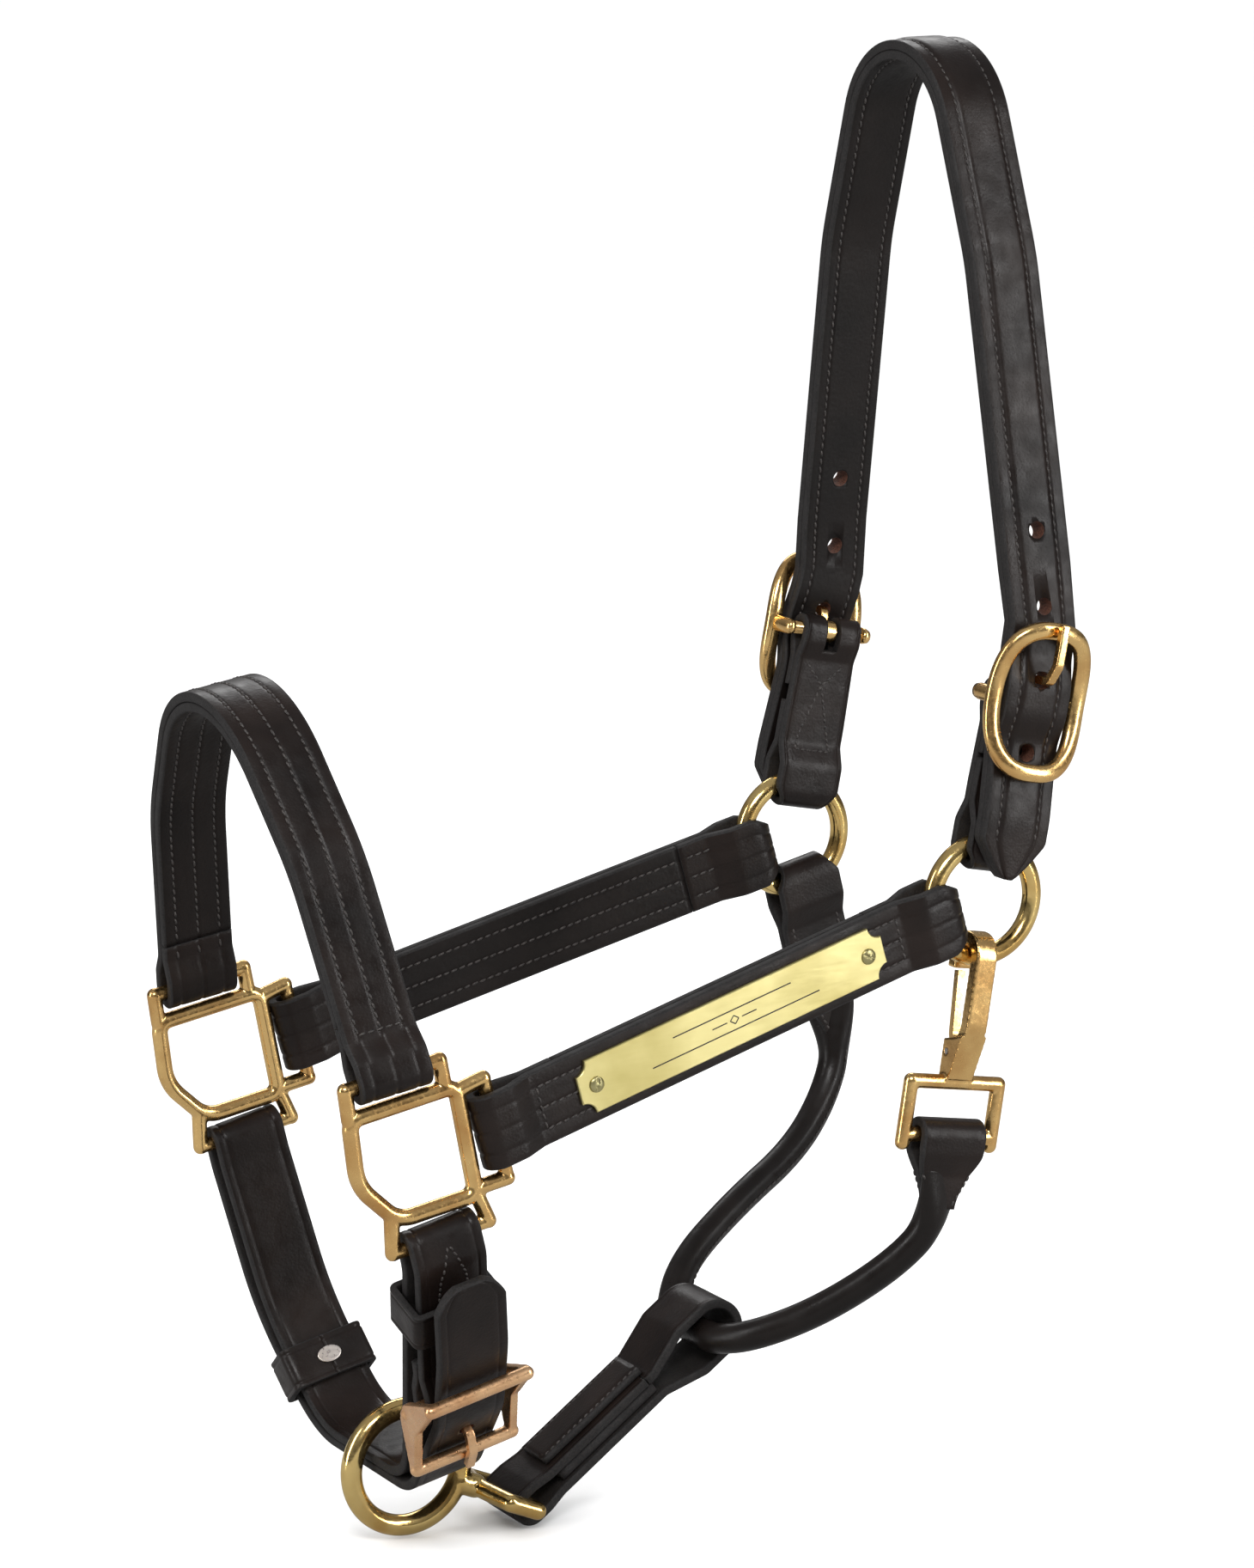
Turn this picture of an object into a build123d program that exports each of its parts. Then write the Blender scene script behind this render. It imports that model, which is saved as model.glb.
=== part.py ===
from build123d import *
import os
from math import atan2, cos, degrees, hypot, radians, sin, tan

# A leather headcollar in its own frame, in millimetres.
# The horse faces -X and its poll is towards +X and +Z. Its left, or near, side is -Y, its off side +Y.
# The origin is midway between the centres of the two upper cheek rings, on the line the crown swings about.
os.makedirs("parts", exist_ok=True)

SIDES = {"near": -1, "far": 1}

# Leather
strap_width = 25.4
leather = 3.4
lining = 3.2
chape_leather = 3.0
layer_gap = 0.1
wire_gap = 0.4

# Upper cheek rings, in planes across Y
ring_half_spacing = 65.0
ring_radius = 19.75
ring_wire = 3.25

# Halter squares, in planes across Y, pitched up towards the poll
square_x = -220.5
square_z = -60.0
square_half_spacing = 77.0
square_pitch = 11.0
square_wire = 2.8
square_top = 18.0
square_rear = 19.3
square_bottom = 19.5
slot_bar_wire = 2.4
slot_reach = 10.0
nose_strap_shift = -2.2
cheek_strap_reach = 11.0
cheek_strap_shift = 0.5
chin_strap_shift = 3.4

# Crown strap and its buckles
crown_rise = 79.0
billet_thickness = leather + lining
bar_reach = {"near": 70.0, "far": 74.0}
billet_tip = 9.0
crown_join = 96.0
crown_plane_x = 20.07
crown_lean = 1.35
crown_shoulder = (47.5, 215.0)
crown_apex_corner = 345.5
crown_top_radius = 32.5
hole_pitch = 25.0
hole_radius = 2.9
holes_above_buckle = 2
buckle_length = 54.4
buckle_width = 39.4
buckle_bar = 5.2
buckle_lift = 18.6
buckle_bow = 8.1
centre_bar = 2.2

# Noseband, in a plane that leans forwards
nose_lean = 10.0
nose_shoulder = (56.0, 95.0)
nose_apex_corner = 175.0
nose_top_radius = 43.0

# Chin strap, in a plane that leans backwards as it goes down
chin_lean = 13.5
chin_bottom = 108.6
chin_bar = (-59.0, -71.0)
chin_buckle_length = 40.0
chin_buckle_width = 39.0
chin_bar_wire = 2.4

# Throat ring casting under the jaw
throat_ring_depth = 115.2
throat_ring_radius = 20.7
throat_ring_wire = 3.7
throat_arm_fall = 23.0
throat_bar_reach = 45.0
throat_bar_half = 16.4
throat_bar_wire = 3.0

# Jaw strap
jaw_core = 4.6
jaw_top_strip = 17.0

# Throat latch
roll_radius = 5.3
roll_core = 2.4
snap_direction = 261.0
tab_direction = 284.0


def save(part, node):
    part.label = node
    export_step(part, f"parts/{node}.step")
    print(f"{node}: {len(part.solids())} solid(s), {part.volume:.0f} mm3")


def polar(angle, reach):
    return (reach * cos(radians(angle)), reach * sin(radians(angle)))


def square_plane(side, y_offset=0.0):
    """Plane of a halter square: local X towards the poll, local Y up, seen from the far side's -Y."""
    return Plane(
        origin=(square_x, SIDES[side] * (square_half_spacing + y_offset), square_z),
        x_dir=(cos(radians(square_pitch)), 0, sin(radians(square_pitch))),
        z_dir=(0, -1, 0),
    )


def spoke_plane(side, angle):
    """Plane that holds a ring's spoke at this angle: local X out along it, local Y out from the horse."""
    out = Vector(cos(radians(angle)), 0, sin(radians(angle)))
    away = Vector(0, SIDES[side], 0)
    return Plane(origin=(0, SIDES[side] * ring_half_spacing, 0), x_dir=out, z_dir=out.cross(away))


def unit(start, end):
    length = hypot(end[0] - start[0], end[1] - start[1])
    return ((end[0] - start[0]) / length, (end[1] - start[1]) / length)


def step_from(point, along, distance, across=0.0):
    """The point a distance along a direction, and across to the left of it."""
    return (
        point[0] + along[0] * distance - along[1] * across,
        point[1] + along[1] * distance + along[0] * across,
    )


def parallel(points, radii, across):
    """A bent path's corners and radii, moved to its left by this much."""
    moved = [step_from(points[0], unit(points[0], points[1]), 0, across)]
    moved_radii = []
    for before, corner, after, radius in zip(points, points[1:], points[2:], radii):
        first = unit(before, corner)
        second = unit(corner, after)
        turn = atan2(first[0] * second[1] - first[1] * second[0], first[0] * second[0] + first[1] * second[1])
        moved.append(step_from(corner, first, -across * tan(turn / 2), across))
        moved_radii.append(radius - across if turn > 0 else radius + across)
    moved.append(step_from(points[-1], unit(points[-2], points[-1]), 0, across))
    return moved, moved_radii


def fold(bar, along, half_gap, half_legs, tip, flare, leg):
    """Corners and radii of a strap that comes in on the right of a bar, goes round it and comes back.

    along points from the bar into the strap.
    """
    stations = [(leg, -half_legs), (flare, -half_gap), (-tip, -half_gap)]
    stations += [(-tip, half_gap), (flare, half_gap), (leg, half_legs)]
    corners = [step_from(bar, along, distance, across) for distance, across in stations]
    return corners, [5.0, 4.0, half_gap - 0.05, half_gap - 0.05, 4.0, 5.0]


def band(plane, corners, radii, thickness, width):
    """A strap of this thickness that follows a bent path in a plane, and is this wide across it."""
    with BuildPart() as strap:
        with BuildSketch(plane):
            with BuildLine():
                if radii:
                    FilletPolyline(*corners, radius=radii)
                else:
                    Line(*corners)
            trace(line_width=thickness)
        extrude(amount=width / 2, both=True)
    return strap.part


def rod(start, end, radius):
    """A straight round bar with domed ends."""
    start = Vector(*start)
    end = Vector(*end)
    with BuildPart() as bar:
        with BuildSketch(Plane(origin=start, z_dir=end - start)):
            Circle(radius)
        extrude(amount=(end - start).length)
        with Locations(start, end):
            Sphere(radius)
    return bar.part


# ---- Hardware of each side: upper ring, halter square, crown buckle and its tongue ----

def upper_ring(side):
    with BuildPart() as ring:
        with BuildSketch(Plane(origin=(ring_radius, SIDES[side] * ring_half_spacing, 0), z_dir=(0, 0, 1))):
            Circle(ring_wire)
        revolve(axis=Axis((0, 0, 0), (0, 1, 0)))
    save(ring.part, f"{side}_upper_ring")


def halter_square(side):
    """A cast square with a bowed front and, on three sides, a slot whose outer bar carries a strap."""
    front = -19.0
    plane = square_plane(side)
    loop = [(square_rear, square_top), (square_rear, -square_bottom), (-9, -square_bottom)]
    loop += [(front - 1.5, -4), (front, square_top)]
    with BuildPart() as square:
        with BuildLine(plane) as outline:
            FilletPolyline(*loop, close=True, radius=[4, 4, 11, 16, 4])
        start = outline.line.edges()[0]
        with BuildSketch(Plane(origin=start @ 0, z_dir=start % 0)):
            Circle(square_wire)
        sweep(path=outline.line)
    nose_ends = [(front + 0.5, square_top + slot_reach), (15.5, square_top + slot_reach)]
    cheek_ends = [(square_rear + slot_reach, 17.4), (square_rear + slot_reach + 2, -17.6)]
    chin_ends = [(22, -square_bottom - slot_reach), (-13, -square_bottom - slot_reach)]
    arms = [
        ((front, square_top), nose_ends[0]),
        ((15.5, square_top), nose_ends[1]),
        ((square_rear, 16), cheek_ends[0]),
        ((square_rear, -17.6), cheek_ends[1]),
        ((19.5, -square_bottom), chin_ends[0]),
        ((-11, -square_bottom + 2.5), chin_ends[1]),
    ]
    body = square.part
    for start_point, end_point in arms:
        ends = [plane.from_local_coords(Vector(*point, 0)) for point in (start_point, end_point)]
        body = body + rod(*ends, square_wire - 0.2)
    for bar in (nose_ends, cheek_ends, chin_ends):
        ends = [plane.from_local_coords(Vector(*point, 0)) for point in bar]
        body = body + rod(*ends, slot_bar_wire)
    save(body, f"{side}_halter_square")


def crown_buckle(side):
    """An oval frame bowed down over the strap's edges, with bosses that carry the centre bar."""
    reach = bar_reach[side]
    face = spoke_plane(side, crown_rise)
    top = Plane(origin=face.from_local_coords(Vector(reach, 0, 0)), x_dir=face.x_dir, z_dir=face.y_dir)
    rise = buckle_lift - buckle_bow
    with BuildPart() as frame:
        with BuildSketch(top):
            RectangleRounded(buckle_length, buckle_width, 17.5)
            RectangleRounded(buckle_length - 2 * buckle_bar, buckle_width - 2 * buckle_bar, 12.5, mode=Mode.SUBTRACT)
        extrude(amount=30, both=True)
        with BuildSketch(Plane(origin=top.origin, x_dir=face.x_dir, z_dir=face.z_dir)):
            with BuildLine():
                ThreePointArc((-30, buckle_lift), (0, rise), (30, buckle_lift))
            trace(line_width=buckle_bar)
        extrude(amount=30, both=True, mode=Mode.INTERSECT)
        try:
            fillet(frame.edges(), 1.6)
        except ValueError:
            print("crown buckle edges stay square")
    body = frame.part
    for edge in (-1, 1):
        side_bar = (buckle_width - buckle_bar) / 2 * edge
        seat = face.from_local_coords(Vector(reach, rise, side_bar))
        foot = face.from_local_coords(Vector(reach, 0, side_bar - 1.2 * edge))
        body = body + rod(seat, foot, 2.6)
    ends = [face.from_local_coords(Vector(reach, 0, edge * (buckle_width / 2 - 3))) for edge in (-1, 1)]
    save(body + rod(*ends, centre_bar), f"{side}_crown_buckle_frame")


def tongue(node, plane, bar_point, bar_radius, tip, lift):
    """A buckle tongue: an eye round the bar and a pin that runs out to rest on the frame's bar.

    The plane's local X runs along the strap and its local Y out from the horse.
    """
    with BuildPart() as pin:
        with BuildSketch(plane):
            with Locations(bar_point):
                Circle(bar_radius + 1.7)
        extrude(amount=2.2, both=True)
        with BuildSketch(plane):
            with BuildLine():
                x, y = bar_point
                FilletPolyline(
                    (x, y + bar_radius + 0.9), (x + 6.8, y + 4.6), (x + 7.4, y + lift - 3.5), (x + 13, y + lift),
                    (x + tip, y + lift), radius=2,
                )
            trace(line_width=2.8)
        extrude(amount=1.5, both=True)
        with BuildSketch(plane):
            with Locations(bar_point):
                Circle(bar_radius + 0.05)
        extrude(amount=4, both=True, mode=Mode.SUBTRACT)
    save(pin.part, node)


# ---- Leather of the head: crown, chapes, cheeks and noseband ----

def crown_layer(across, thickness):
    """One layer of the crown: a pointed billet down each side and the arch between them."""
    half = ring_half_spacing
    arch = [(-(half + 6.3), 94), (-crown_shoulder[0], crown_shoulder[1]), (0, crown_apex_corner)]
    arch += [(crown_shoulder[0], crown_shoulder[1]), (half + 6.3, 94)]
    corners, radii = parallel(arch, [90, crown_top_radius, 90], across)
    plane = Plane(
        origin=(crown_plane_x, 0, 0),
        x_dir=(0, 1, 0),
        z_dir=Vector(0, 1, 0).cross(Vector(-sin(radians(crown_lean)), 0, cos(radians(crown_lean)))),
    )
    body = band(plane, corners, radii, thickness, strap_width)
    for side in SIDES:
        reach = bar_reach[side]
        face = spoke_plane(side, crown_rise)
        wave = [(billet_tip, 10.5), (30, 10.5), (reach - 14, 6.6), (reach - 5, 9.3), (reach + 5, 9.3)]
        wave += [(reach + 14, 6.4), (101, 5.2)]
        corners, radii = parallel(wave, [40, 16, 16, 16, 16], across)
        leg = band(face, corners, radii, thickness, strap_width)
        with BuildPart() as point:
            with BuildSketch(Plane(origin=face.origin, x_dir=face.x_dir, z_dir=face.y_dir)):
                Polygon(
                    (billet_tip, -4), (billet_tip, 4), (billet_tip + 11, 12.8), (110, 12.8), (110, -12.8),
                    (billet_tip + 11, -12.8), align=None,
                )
            extrude(amount=40, both=True)
            with BuildSketch(Plane(origin=face.origin, x_dir=face.x_dir, z_dir=face.y_dir)):
                with Locations((reach + 7.1 - hole_pitch, 0), (reach + 7.1, 0)):
                    Circle(hole_radius)
            extrude(amount=40, both=True, mode=Mode.SUBTRACT)
        body = body + (leg & point.part)
    with BuildPart() as holes:
        for side in SIDES:
            for step in range(1, holes_above_buckle + 1):
                height = bar_reach[side] + 5 + hole_pitch * step
                with Locations(Plane(origin=(crown_plane_x - height * tan(radians(crown_lean)), 0, height),
                                     z_dir=(0, SIDES[side], 0.2))):
                    Cylinder(hole_radius, 200, align=(Align.CENTER, Align.CENTER, Align.MIN))
    return body - holes.part


def crown_chape(side):
    """The strap that holds the crown buckle to the upper ring, folded round both and sewn to itself."""
    reach = bar_reach[side]
    face = spoke_plane(side, crown_rise)
    legs = chape_leather / 2 + layer_gap / 2
    ring_gap = ring_wire + wire_gap + chape_leather / 2
    bar_gap = centre_bar + 0.15 + chape_leather / 2
    bar_fold, bar_radii = fold((reach, 0), (-1, 0), bar_gap, legs, bar_gap, 4, 10)
    ring_fold, ring_radii = fold((ring_radius, 0), (1, 0), ring_gap, legs, 8.55, 6, 13)
    corners = [(reach - 20.5, legs)] + bar_fold + ring_fold + [(ring_radius + 28, legs)]
    radii = bar_radii + ring_radii
    body = band(face, corners, radii, chape_leather, strap_width - 0.4)
    slot_plane = Plane(origin=face.origin, x_dir=face.x_dir, z_dir=face.y_dir)
    with BuildPart() as trim:
        with BuildSketch(slot_plane):
            with Locations((reach, 0)):
                Rectangle(14, 5.6)
        extrude(amount=30, both=True)
    save(ring_taper(body - trim.part, side, crown_rise), f"{side}_crown_chape")


def ring_taper(body, side, angle, half_angle=38.0):
    """Trim a fold's corners so that its neighbours on the ring keep clear of it."""
    spoke = spoke_plane(side, angle)
    flat = Plane(origin=spoke.origin, x_dir=spoke.x_dir, z_dir=spoke.y_dir)
    reach = 40.0
    across = reach * tan(radians(half_angle))
    with BuildPart() as corners:
        with BuildSketch(flat):
            for edge in (-1, 1):
                Polygon((-30, 0), (0, 0), (reach, edge * across), (reach, edge * 60), (-30, edge * 60), align=None)
        extrude(amount=20, both=True)
    return body - corners.part


def doubled_strap(node, plane, middle, radii, loops, width, seam):
    """A strap folded round a bar at both ends, with a lining between its turned-back ends.

    middle runs from bar to bar, its left side faces away from the horse, and seam is how far each end turns
    back. loops gives each end's half gap, tip, flare and leg.
    """
    legs = (leather + layer_gap) / 2
    inside = (lining + layer_gap) / 2
    outer, outer_radii = parallel(middle, radii, legs)
    inner, inner_radii = parallel(middle, radii, -inside)
    first_way = unit(middle[0], middle[1])
    last_way = unit(middle[-1], middle[-2])
    half_gap, tip, flare, leg = loops[0]
    first_fold, first_radii = fold(middle[0], first_way, half_gap, legs, tip, flare, leg)
    half_gap, tip, flare, leg = loops[1]
    last_fold, last_radii = fold(middle[-1], last_way, half_gap, legs, tip, flare, leg)
    corners = [step_from(middle[0], first_way, seam, -legs)] + first_fold + outer[1:-1]
    corners += last_fold + [step_from(middle[-1], last_way, seam, legs)]
    strap = band(plane, corners, first_radii + outer_radii + last_radii, leather, width)
    line = [step_from(middle[0], first_way, seam + 0.5, -inside)] + inner[1:-1]
    line += [step_from(middle[-1], last_way, seam + 0.5, inside)]
    return strap, band(plane, line, inner_radii, lining, width)


def cheek(side):
    """The cheek strap from the square's rear slot to the upper ring, with its lining."""
    start = square_plane(side).from_local_coords(Vector(square_rear + cheek_strap_reach, cheek_strap_shift, 0))
    centre = Vector(0, SIDES[side] * ring_half_spacing, 0)
    toward = start - centre
    end = centre + Vector(toward.X, 0, toward.Z).normalized() * ring_radius
    along = (end - start).normalized()
    away = Vector(0, SIDES[side], 0)
    width_way = along.cross(away)
    plane = Plane(origin=start, x_dir=along, z_dir=width_way)
    length = (end - start).length
    square_gap = slot_bar_wire + wire_gap + leather / 2
    ring_gap = ring_wire + wire_gap + 0.25 + leather / 2
    loops = [(square_gap, square_gap + 1.2, 6, 14), (ring_gap, 9.0, 6, 14)]
    turned = [(0, 0), (length, 0)]
    strap, inner = doubled_strap("cheek", plane, turned, [], loops, strap_width, 26)
    angle = degrees(atan2(-along.Z, -along.X)) % 360
    save(ring_taper(strap, side, angle), f"{side}_cheek_strap")
    save(inner, f"{side}_cheek_lining")
    return plane, length


def lean_plane(shift, height, lean):
    """A plane across the horse that pivots about a bar of the squares: local X is +Y, local Y is up."""
    pivot = square_plane("near").from_local_coords(Vector(shift, height, 0))
    up = Vector(-sin(radians(lean)), 0, cos(radians(lean)))
    return Plane(origin=(pivot.X, 0, pivot.Z), x_dir=(0, 1, 0), z_dir=Vector(0, 1, 0).cross(up))


def noseband():
    """The arch over the nose, folded round the outer bars of the squares' top slots, with its lining."""
    bar_height = square_top + slot_reach
    plane = lean_plane(nose_strap_shift, bar_height, nose_lean)
    half = square_half_spacing
    shoulder_width, shoulder_height = nose_shoulder
    shoulder = (shoulder_width, shoulder_height - bar_height)
    middle = [(-half, 0), (-shoulder[0], shoulder[1]), (0, nose_apex_corner - bar_height), shoulder, (half, 0)]
    gap = slot_bar_wire + wire_gap + leather / 2
    loops = [(gap, gap, 6, 13)] * 2
    strap, inner = doubled_strap("noseband", plane, middle, [70, nose_top_radius, 70], loops, strap_width, 19)
    save(strap, "noseband_strap")
    save(inner, "noseband_lining")


def chin_strap():
    """One long strap: chin buckle, near square, under the jaw, far square, back under the jaw, free tip."""
    plane = lean_plane(chin_strap_shift, -square_bottom, chin_lean)
    half = square_half_spacing
    gap = slot_bar_wire + wire_gap + leather / 2
    top = gap - slot_reach
    along = unit(chin_bar, (-half, 0))
    bar_gap = chin_bar_wire + 0.3 + leather / 2
    legs = leather / 2 + layer_gap
    first_fold, first_radii = fold(chin_bar, along, bar_gap, legs, bar_gap, 5, 12)
    inner_depth = -(chin_bottom - leather / 2 - layer_gap)
    outer_depth = -(chin_bottom + leather / 2 + layer_gap)
    corners = [step_from(chin_bar, along, 17, -legs)] + first_fold
    corners += [(-half - gap, -18), (-half - gap, top), (-half + gap, top), (-half + gap, -18)]
    corners += [(-54, -55), (-28, inner_depth), (40, inner_depth), (65, -70)]
    corners += [(half - gap, -18), (half - gap, top), (half + gap, top), (half + gap, -20)]
    corners += [(74.5, -72), (46, outer_depth), (-30, outer_depth), (-66.5, -76), (-82, -50), (-93, -22)]
    radii = first_radii + [8, gap - 0.1, gap - 0.1, 15, 60, 22, 26, 60, 15, gap - 0.1, gap - 0.1, 15]
    radii += [60, 30, 26, 30, 60]
    strap = band(plane, corners, radii, leather, strap_width)
    frame = chin_frame_plane(plane)
    flat = Plane(origin=frame.origin, x_dir=frame.x_dir, z_dir=frame.y_dir)
    with BuildPart() as openings:
        with BuildSketch(flat.offset(6.22)):
            with Locations((1.35, 0)):
                Rectangle(11.7, 5.8)
        extrude(amount=-14.42)
        with BuildSketch(flat.offset(4)):
            with Locations((7.1, 0), (-12, 0)):
                Circle(hole_radius)
        extrude(amount=12)
    save(strap - openings.part, "chin_strap")
    return plane


# ---- Under the jaw: chin buckle, keepers, throat ring, jaw strap ----

def in_chin(plane, y, height, across=0.0):
    return plane.from_local_coords(Vector(y, height, across))


def chin_frame_plane(plane):
    """Local X runs down along the free end towards the jaw, local Y out from the jaw, through the bar."""
    down = Vector(*unit((-82, -50), (-30, -110)), 0)
    x_dir = plane.from_local_coords(down) - plane.origin
    out = plane.from_local_coords(Vector(down.Y, -down.X, 0)) - plane.origin
    return Plane(origin=in_chin(plane, *chin_bar), x_dir=x_dir, z_dir=x_dir.cross(out))


def chin_buckle(plane):
    """A rectangular frame of two round bars joined by flat side plates that carry the centre bar."""
    frame = chin_frame_plane(plane)
    reach = chin_buckle_length / 2 - 1.5
    half = chin_buckle_width / 2 - 1.6
    lift = 11.4
    body = rod(*[frame.from_local_coords(Vector(0, 0, edge * half)) for edge in (-1, 1)], chin_bar_wire)
    for end in (-1, 1):
        bar = [frame.from_local_coords(Vector(end * reach, lift, edge * half)) for edge in (-1, 1)]
        body = body + rod(*bar, chin_bar_wire)
    for edge in (-1, 1):
        with BuildPart() as plate:
            with BuildSketch(frame.offset(edge * half)):
                with BuildLine():
                    FilletPolyline(
                        (-reach - 1.5, lift + 1.8), (-reach - 1.5, lift - 2), (-4, -1.8), (4, -1.8),
                        (reach + 1.5, lift - 2), (reach + 1.5, lift + 1.8), (0, lift - 3), close=True, radius=1.2,
                    )
                make_face()
            extrude(amount=1.5, both=True)
        body = body + plate.part
    save(body, "chin_buckle_frame")
    tongue("chin_buckle_tongue", frame, (0, 0), chin_bar_wire, 21.5, lift + chin_bar_wire + 1.6)
    return frame


def keeper(node, plane, centre, along, thick, length, wall):
    """A leather loop of rounded rectangular section round the strap."""
    way = in_chin(plane, centre[0] + along[0], centre[1] + along[1]) - in_chin(plane, *centre)
    loop_plane = Plane(origin=in_chin(plane, *centre), x_dir=plane.z_dir, z_dir=way)
    with BuildPart() as loop:
        with BuildSketch(loop_plane):
            RectangleRounded(strap_width + 1.6 + 2 * wall, thick + 2 * wall, wall + 0.6)
            RectangleRounded(strap_width + 1.6, thick, 0.8, mode=Mode.SUBTRACT)
        extrude(amount=length / 2, both=True)
    save(loop.part, node)
    return loop_plane


def keeper_staple(loop_plane, thick, wall):
    """The oval head of the staple that closes the far keeper, on the horse's side."""
    inward = 1 if loop_plane.y_dir.Y < 0 else -1
    seat = Plane(
        origin=loop_plane.from_local_coords(Vector(0, inward * (thick / 2 + wall), 0)),
        x_dir=loop_plane.x_dir,
        z_dir=inward * loop_plane.y_dir,
    )
    with BuildPart() as staple:
        with BuildSketch(seat):
            Ellipse(4.4, 2.9)
        extrude(amount=0.9)
    save(staple.part, "far_chin_keeper_staple")


def throat_ring(plane):
    """The ring that the lead clips to, with a fork that carries the jaw strap's bar."""
    centre = in_chin(plane, 0, -throat_ring_depth)
    with BuildPart() as ring:
        with BuildSketch(Plane(origin=centre + Vector(throat_ring_radius, 0, 0), z_dir=(0, 0, 1))):
            Circle(throat_ring_wire)
        revolve(axis=Axis(centre, (0, 1, 0)))
    body = ring.part

    def place(reach, y):
        x, z = polar(-throat_arm_fall, reach)
        return centre + Vector(x, y, z)

    body = body + rod(place(throat_ring_radius + 1, 0), place(28, 0), 4.2)
    for edge in (-1, 1):
        knee = place(34, edge * throat_bar_half)
        body = body + rod(place(28, 0), knee, throat_bar_wire + 0.2)
        body = body + rod(knee, place(throat_bar_reach, edge * throat_bar_half), throat_bar_wire + 0.2)
    body = body + rod(*[place(throat_bar_reach, edge * throat_bar_half) for edge in (-1, 1)], throat_bar_wire)
    save(body, "throat_ring")
    return centre, place(throat_bar_reach, 0)


roll_at_jaw = Vector(-76, 0, -157)


def jaw_strap(bar):
    """A strap folded round the throat ring's bar and round the throat latch, over a core, with a top strip."""
    along = (roll_at_jaw - bar).normalized()
    plane = Plane(origin=bar, x_dir=along, z_dir=(0, -1, 0))
    length = (roll_at_jaw - bar).length
    legs = lining / 2 + jaw_core / 2 + layer_gap / 2
    bar_gap = throat_bar_wire + wire_gap + lining / 2
    roll_gap = roll_radius + 2.3 + lining / 2
    roll_fold, roll_radii = fold((length, 0), (-1, 0), roll_gap, legs, roll_gap + 3.2, 8, 24)
    bar_fold, bar_radii = fold((0, 0), (1, 0), bar_gap, legs, bar_gap, 5, 12)
    corners = [(length - 27, legs)] + roll_fold + bar_fold + [(length - 27.5, legs)]
    save(band(plane, corners, roll_radii + bar_radii, lining, strap_width - 0.4), "jaw_strap")
    with BuildPart() as core:
        with BuildSketch(Plane(origin=plane.from_local_coords(Vector(15, 0, 0)), x_dir=(0, 1, 0), z_dir=along)):
            RectangleRounded(strap_width - 2, jaw_core, 2)
        extrude(amount=length - 41)
    save(core.part, "jaw_strap_core")
    top = legs + lining / 2 + 1.3
    save(band(plane, [(14, top), (length - 26, top)], [], 2.6, jaw_top_strip), "jaw_top_strip")


# ---- Throat latch and its snap ----

def latch_tab(side, angle, bar, gap, tip, end, node):
    """The latch's flat doubled end, folded round a bar or ring and narrowed towards the roll."""
    plane = spoke_plane(side, angle)
    legs = lining / 2 + layer_gap / 2
    corners, radii = fold((bar, 0), (1, 0), gap, legs, tip, 6, 13)
    corners = [(end, -legs)] + corners + [(end, legs)]
    body = band(plane, corners, radii, lining, strap_width)
    with BuildPart() as taper:
        with BuildSketch(Plane(origin=plane.origin, x_dir=plane.x_dir, z_dir=plane.y_dir)):
            for edge in (-1, 1):
                Polygon((end - 20, edge * 13), (end, edge * 5.4), (end + 1, edge * 5.4), (end + 1, edge * 13), align=None)
        extrude(amount=20, both=True)
    return body - taper.part


def route_radii(points):
    """For each corner, 0.45 of its shorter run divided by the tangent of half its turn."""
    radii = []
    for before, corner, after in zip(points, points[1:], points[2:]):
        first = corner - before
        second = after - corner
        turn = radians(first.get_angle(second))
        radii.append(0.45 * min(first.length, second.length) / tan(turn / 2))
    return radii


def throat_latch():
    near_end = spoke_plane("near", snap_direction).from_local_coords(Vector(107.1, 0, 0))
    far_end = spoke_plane("far", tab_direction).from_local_coords(Vector(76.1, 0, 0))
    near_lead = spoke_plane("near", snap_direction).from_local_coords(Vector(114, 0, 0))
    far_lead = spoke_plane("far", tab_direction).from_local_coords(Vector(84, 0, 0))
    route = [near_end, near_lead, Vector(-29, -58, -126), Vector(-49, -44, -143), Vector(-68, -31, -153)]
    route += [Vector(-76, -17, -157), Vector(-76, 17, -157), Vector(-64, 30, -143), Vector(-36, 41, -127)]
    route += [Vector(-6, 52, -114), Vector(12, 61, -98), far_lead, far_end]
    radii = route_radii(route)
    print("throat latch radii", [round(radius) for radius in radii])
    with BuildLine() as line:
        FilletPolyline(*route, radius=radii)
    for node, outer, inner in (("throat_latch_roll", roll_radius, roll_core), ("throat_latch_core", roll_core, 0)):
        with BuildPart() as tube:
            with BuildSketch(Plane(origin=line.line @ 0, z_dir=line.line % 0)):
                Circle(outer)
                if inner:
                    Circle(inner, mode=Mode.SUBTRACT)
            sweep(path=line.line)
        save(tube.part, node)
    ring_gap = ring_wire + wire_gap + lining / 2
    far_tab = latch_tab("far", tab_direction, ring_radius, ring_gap, 8.6, 76, "far")
    save(ring_taper(far_tab, "far", tab_direction), "far_throat_latch_tab")
    eye_gap = 2.6 + 0.3 + lining / 2
    save(latch_tab("near", snap_direction, 82, eye_gap, eye_gap, 107, "near"), "near_throat_latch_tab")


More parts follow.
